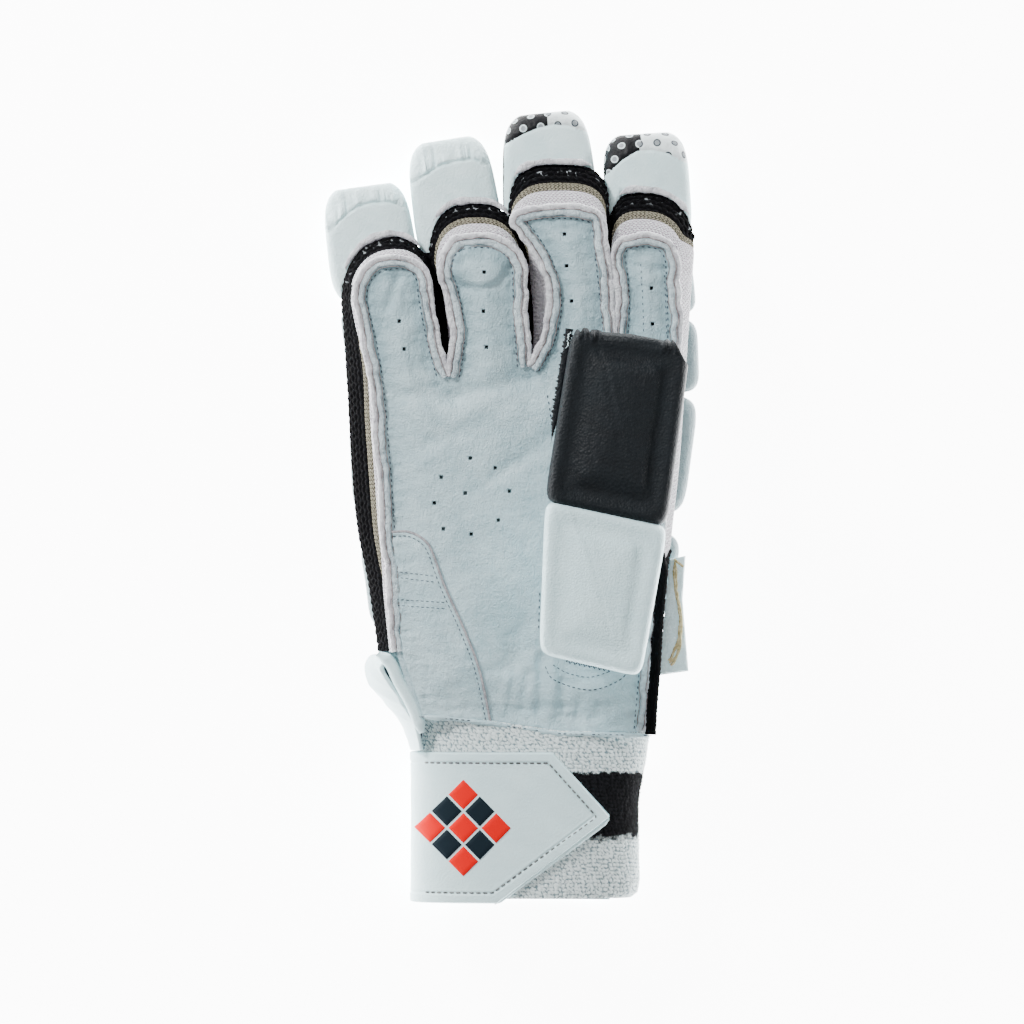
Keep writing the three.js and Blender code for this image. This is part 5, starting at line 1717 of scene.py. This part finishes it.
# %% [markdown]
# ## Stitches
# A stitch is a short piece of thread between two needle holes. Each one here is a small capsule that
# lies along its line, sunk to half its thickness. One function lays them at a pitch along any line.
# The lines are read from the photograph, as shares, and follow the height of the palm or the strap.

# %% Stitches
# A stitch's rings: the place along it and the radius there, both as shares
CAPSULE = np.array([(0, 0.0), (0.08, 0.7), (0.25, 1), (0.75, 1), (0.92, 0.7), (1, 0.0)])
CAPSULE_SIDES = 6


def stitches(line, pitch, length, radius):
    """Capsules along a line of points in space."""
    travelled = path_length(line)
    starts = np.arange(pitch * 0.3, travelled[-1] - length, pitch)
    turn = np.linspace(0, 2 * np.pi, CAPSULE_SIDES, endpoint=False)[None, :, None]
    parts = []
    for start in starts:
        at_s = start + CAPSULE[:, 0] * length
        centre = np.stack([np.interp(at_s, travelled, line[:, k]) for k in range(3)], axis=1)
        way = centre[-1] - centre[0]
        way /= np.linalg.norm(way)
        side = np.cross(way, (0, 0, 1.0))
        side /= max(np.linalg.norm(side), 1e-6)
        up = np.cross(side, way)
        ring = (CAPSULE[:, 1:] * radius)[..., None] * (np.cos(turn) * side + np.sin(turn) * up)
        parts.append(closed_ring_grid(centre[:, None] + ring)[:2])
    return parts


def on_palm(line, rise):
    """A plan line laid on the palm's leather, raised by a part of a mm."""
    return lift(line, palm_height(line) + rise)


def palm_curve(*shares):
    """A smooth stitch line on the palm through places given as shares."""
    return on_palm(curve_through(at(*shares), 200), 0.05)


def straight(start, end, count):
    """A straight plan line between two places given as shares."""
    return np.linspace(at(start)[0], at(end)[0], count)


def on_strap(s, y, rise):
    """A stitch line on the strap, from corners given as s and y."""
    line = resample(np.stack([s, y], axis=1), 300)
    return strap_point(line[:, 0], line[:, 1], rise)


palm_threads = stitches(lift(wrist - (0, 0.2), PALM_BOTTOM + 2.35), 2.1, 1.3, 0.2)
seam = move_in(PATCH, 1.6)
palm_threads += stitches(on_palm(seam, 1.05), 1.9, 1.2, 0.16)
# Four rows across the heel patch
for start, end in (((-0.632, -0.161), (-0.395, -0.175)), ((-0.628, -0.176), (-0.388, -0.190)),
                   ((-0.628, -0.232), (-0.345, -0.240)), ((-0.622, -0.247), (-0.335, -0.256))):
    palm_threads += stitches(on_palm(straight(start, end, 100), 1.15), 1.9, 1.25, 0.16)
# Two columns up the index finger
for column in (((0.68533, 0.61558), (0.69600, 0.52010), (0.70133, 0.43216)),
               ((0.80800, 0.61558), (0.81867, 0.52010), (0.82400, 0.43216))):
    palm_threads += stitches(palm_curve(*column), 2.4, 1.0, 0.16)
# Two arcs and a row of teeth below the white pad of the thumb
palm_threads += stitches(palm_curve((0.17333, -0.39698), (0.22667, -0.43467), (0.41333, -0.45980),
                                    (0.57333, -0.43467), (0.63733, -0.39698)), 2.0, 1.3, 0.2)
palm_threads += stitches(palm_curve((0.21067, -0.39447), (0.29600, -0.41709), (0.41333, -0.42714),
                                    (0.53067, -0.41206)), 1.9, 1.2, 0.16)
teeth = straight((0.28533, -0.38693), (0.52000, -0.40955), 19)
teeth[:, 1] += 0.75 * np.where(np.arange(19) % 2, 1, -1)
for start, end in zip(teeth[:-1], teeth[1:]):
    tooth = np.hypot(*(end - start))
    palm_threads += stitches(on_palm(np.linspace(start, end, 8), 0.1), tooth, 0.68 * tooth, 0.24)
# Three short rows beside the thumb's pads
for start, end in (((0.188, 0.286), (0.210, 0.218)), ((0.225, 0.290), (0.240, 0.282)),
                   ((0.148, -0.210), (0.142, -0.310))):
    palm_threads += stitches(on_palm(straight(start, end, 40), 0.1), 2.4, 1.1, 0.22)
for finger in FINGERS:
    seam = resample(move_in(finger_line(finger, "leather"), 3.5), 500)
    palm_threads += stitches(on_palm(seam, 0.08), 2.2, 1.15, 0.2)
finish_parts("palm_stitches", palm_threads, THREAD)

left_end = strap_s(-32)
border_s = [left_end, strap_s(UPPER_CORNER) - 1.5, s_end - 5.2, strap_s(LOWER_CORNER) - 1.8, left_end]
border_y = [STRAP_TOP_Y - 4, STRAP_TOP_Y - 4, STRAP_TIP[1], STRAP_LOW_Y + 4, STRAP_LOW_Y + 4]
border = on_strap(border_s, border_y, STRAP_WALL - 0.25)
finish_parts("strap_stitches", stitches(border, 2.5, 1.8, 0.33), STRAP_THREAD)

# %% [markdown]
# ## Camera, light and floor
# The glove lies on a pale floor and is seen from straight above, far enough away to look flat.

# %% Camera, light and floor
PHOTO_CENTRE = (-0.3, -1.7)
FRAME_WIDTH = 375.0
CAMERA_HEIGHT = 3000.0

camera = bpy.data.cameras.new("camera")
camera.sensor_width = 36
camera.lens = 36 * (CAMERA_HEIGHT - 38) / FRAME_WIDTH
camera.clip_start, camera.clip_end = 0.1, 20
camera_object = bpy.data.objects.new("camera", camera)
camera_object.location = (PHOTO_CENTRE[0] * MM, PHOTO_CENTRE[1] * MM, CAMERA_HEIGHT * MM)
bpy.context.collection.objects.link(camera_object)
bpy.context.scene.camera = camera_object

floor_mesh = bpy.data.meshes.new("floor")
reach = 3.0
floor_mesh.from_pydata([(-reach, -reach, 0), (reach, -reach, 0), (reach, reach, 0), (-reach, reach, 0)], [],
                       [(0, 1, 2, 3)])
floor = bpy.data.objects.new("floor", floor_mesh)
floor.location.z = -0.0005
bpy.context.collection.objects.link(floor)
floor_finish = Shader("floor_finish", 0.9)
floor_finish.surface.inputs["Base Color"].default_value = (0.95, 0.95, 0.95, 1)
floor_finish.surface.inputs["Emission Color"].default_value = (1, 1, 1, 1)
floor_finish.surface.inputs["Emission Strength"].default_value = 10.5
floor_mesh.materials.append(floor_finish.material)


def area_light(name, place, power_watts, size):
    """A square lamp at a place in metres, turned towards the origin."""
    light = bpy.data.lights.new(name, "AREA")
    light.energy = power_watts
    light.size = size
    obj = bpy.data.objects.new(name, light)
    obj.location = place
    direction = np.array(place)
    obj.rotation_euler = (np.arccos(direction[2] / np.linalg.norm(direction)), 0,
                          np.arctan2(direction[0], -direction[1]))
    bpy.context.collection.objects.link(obj)
    return obj


lights = [
    area_light("key", (-1.1, 1.1, 0.9), 48, 0.45),
    area_light("fill", (1.1, -0.4, 1.2), 5, 1.0),
    area_light("top", (0.0, 0.0, 1.8), 9, 1.4),
]
world = bpy.data.worlds.new("world")
world.use_nodes = True
world.node_tree.nodes["Background"].inputs["Color"].default_value = (1, 1, 1, 1)
world.node_tree.nodes["Background"].inputs["Strength"].default_value = 0.35
bpy.context.scene.world = world
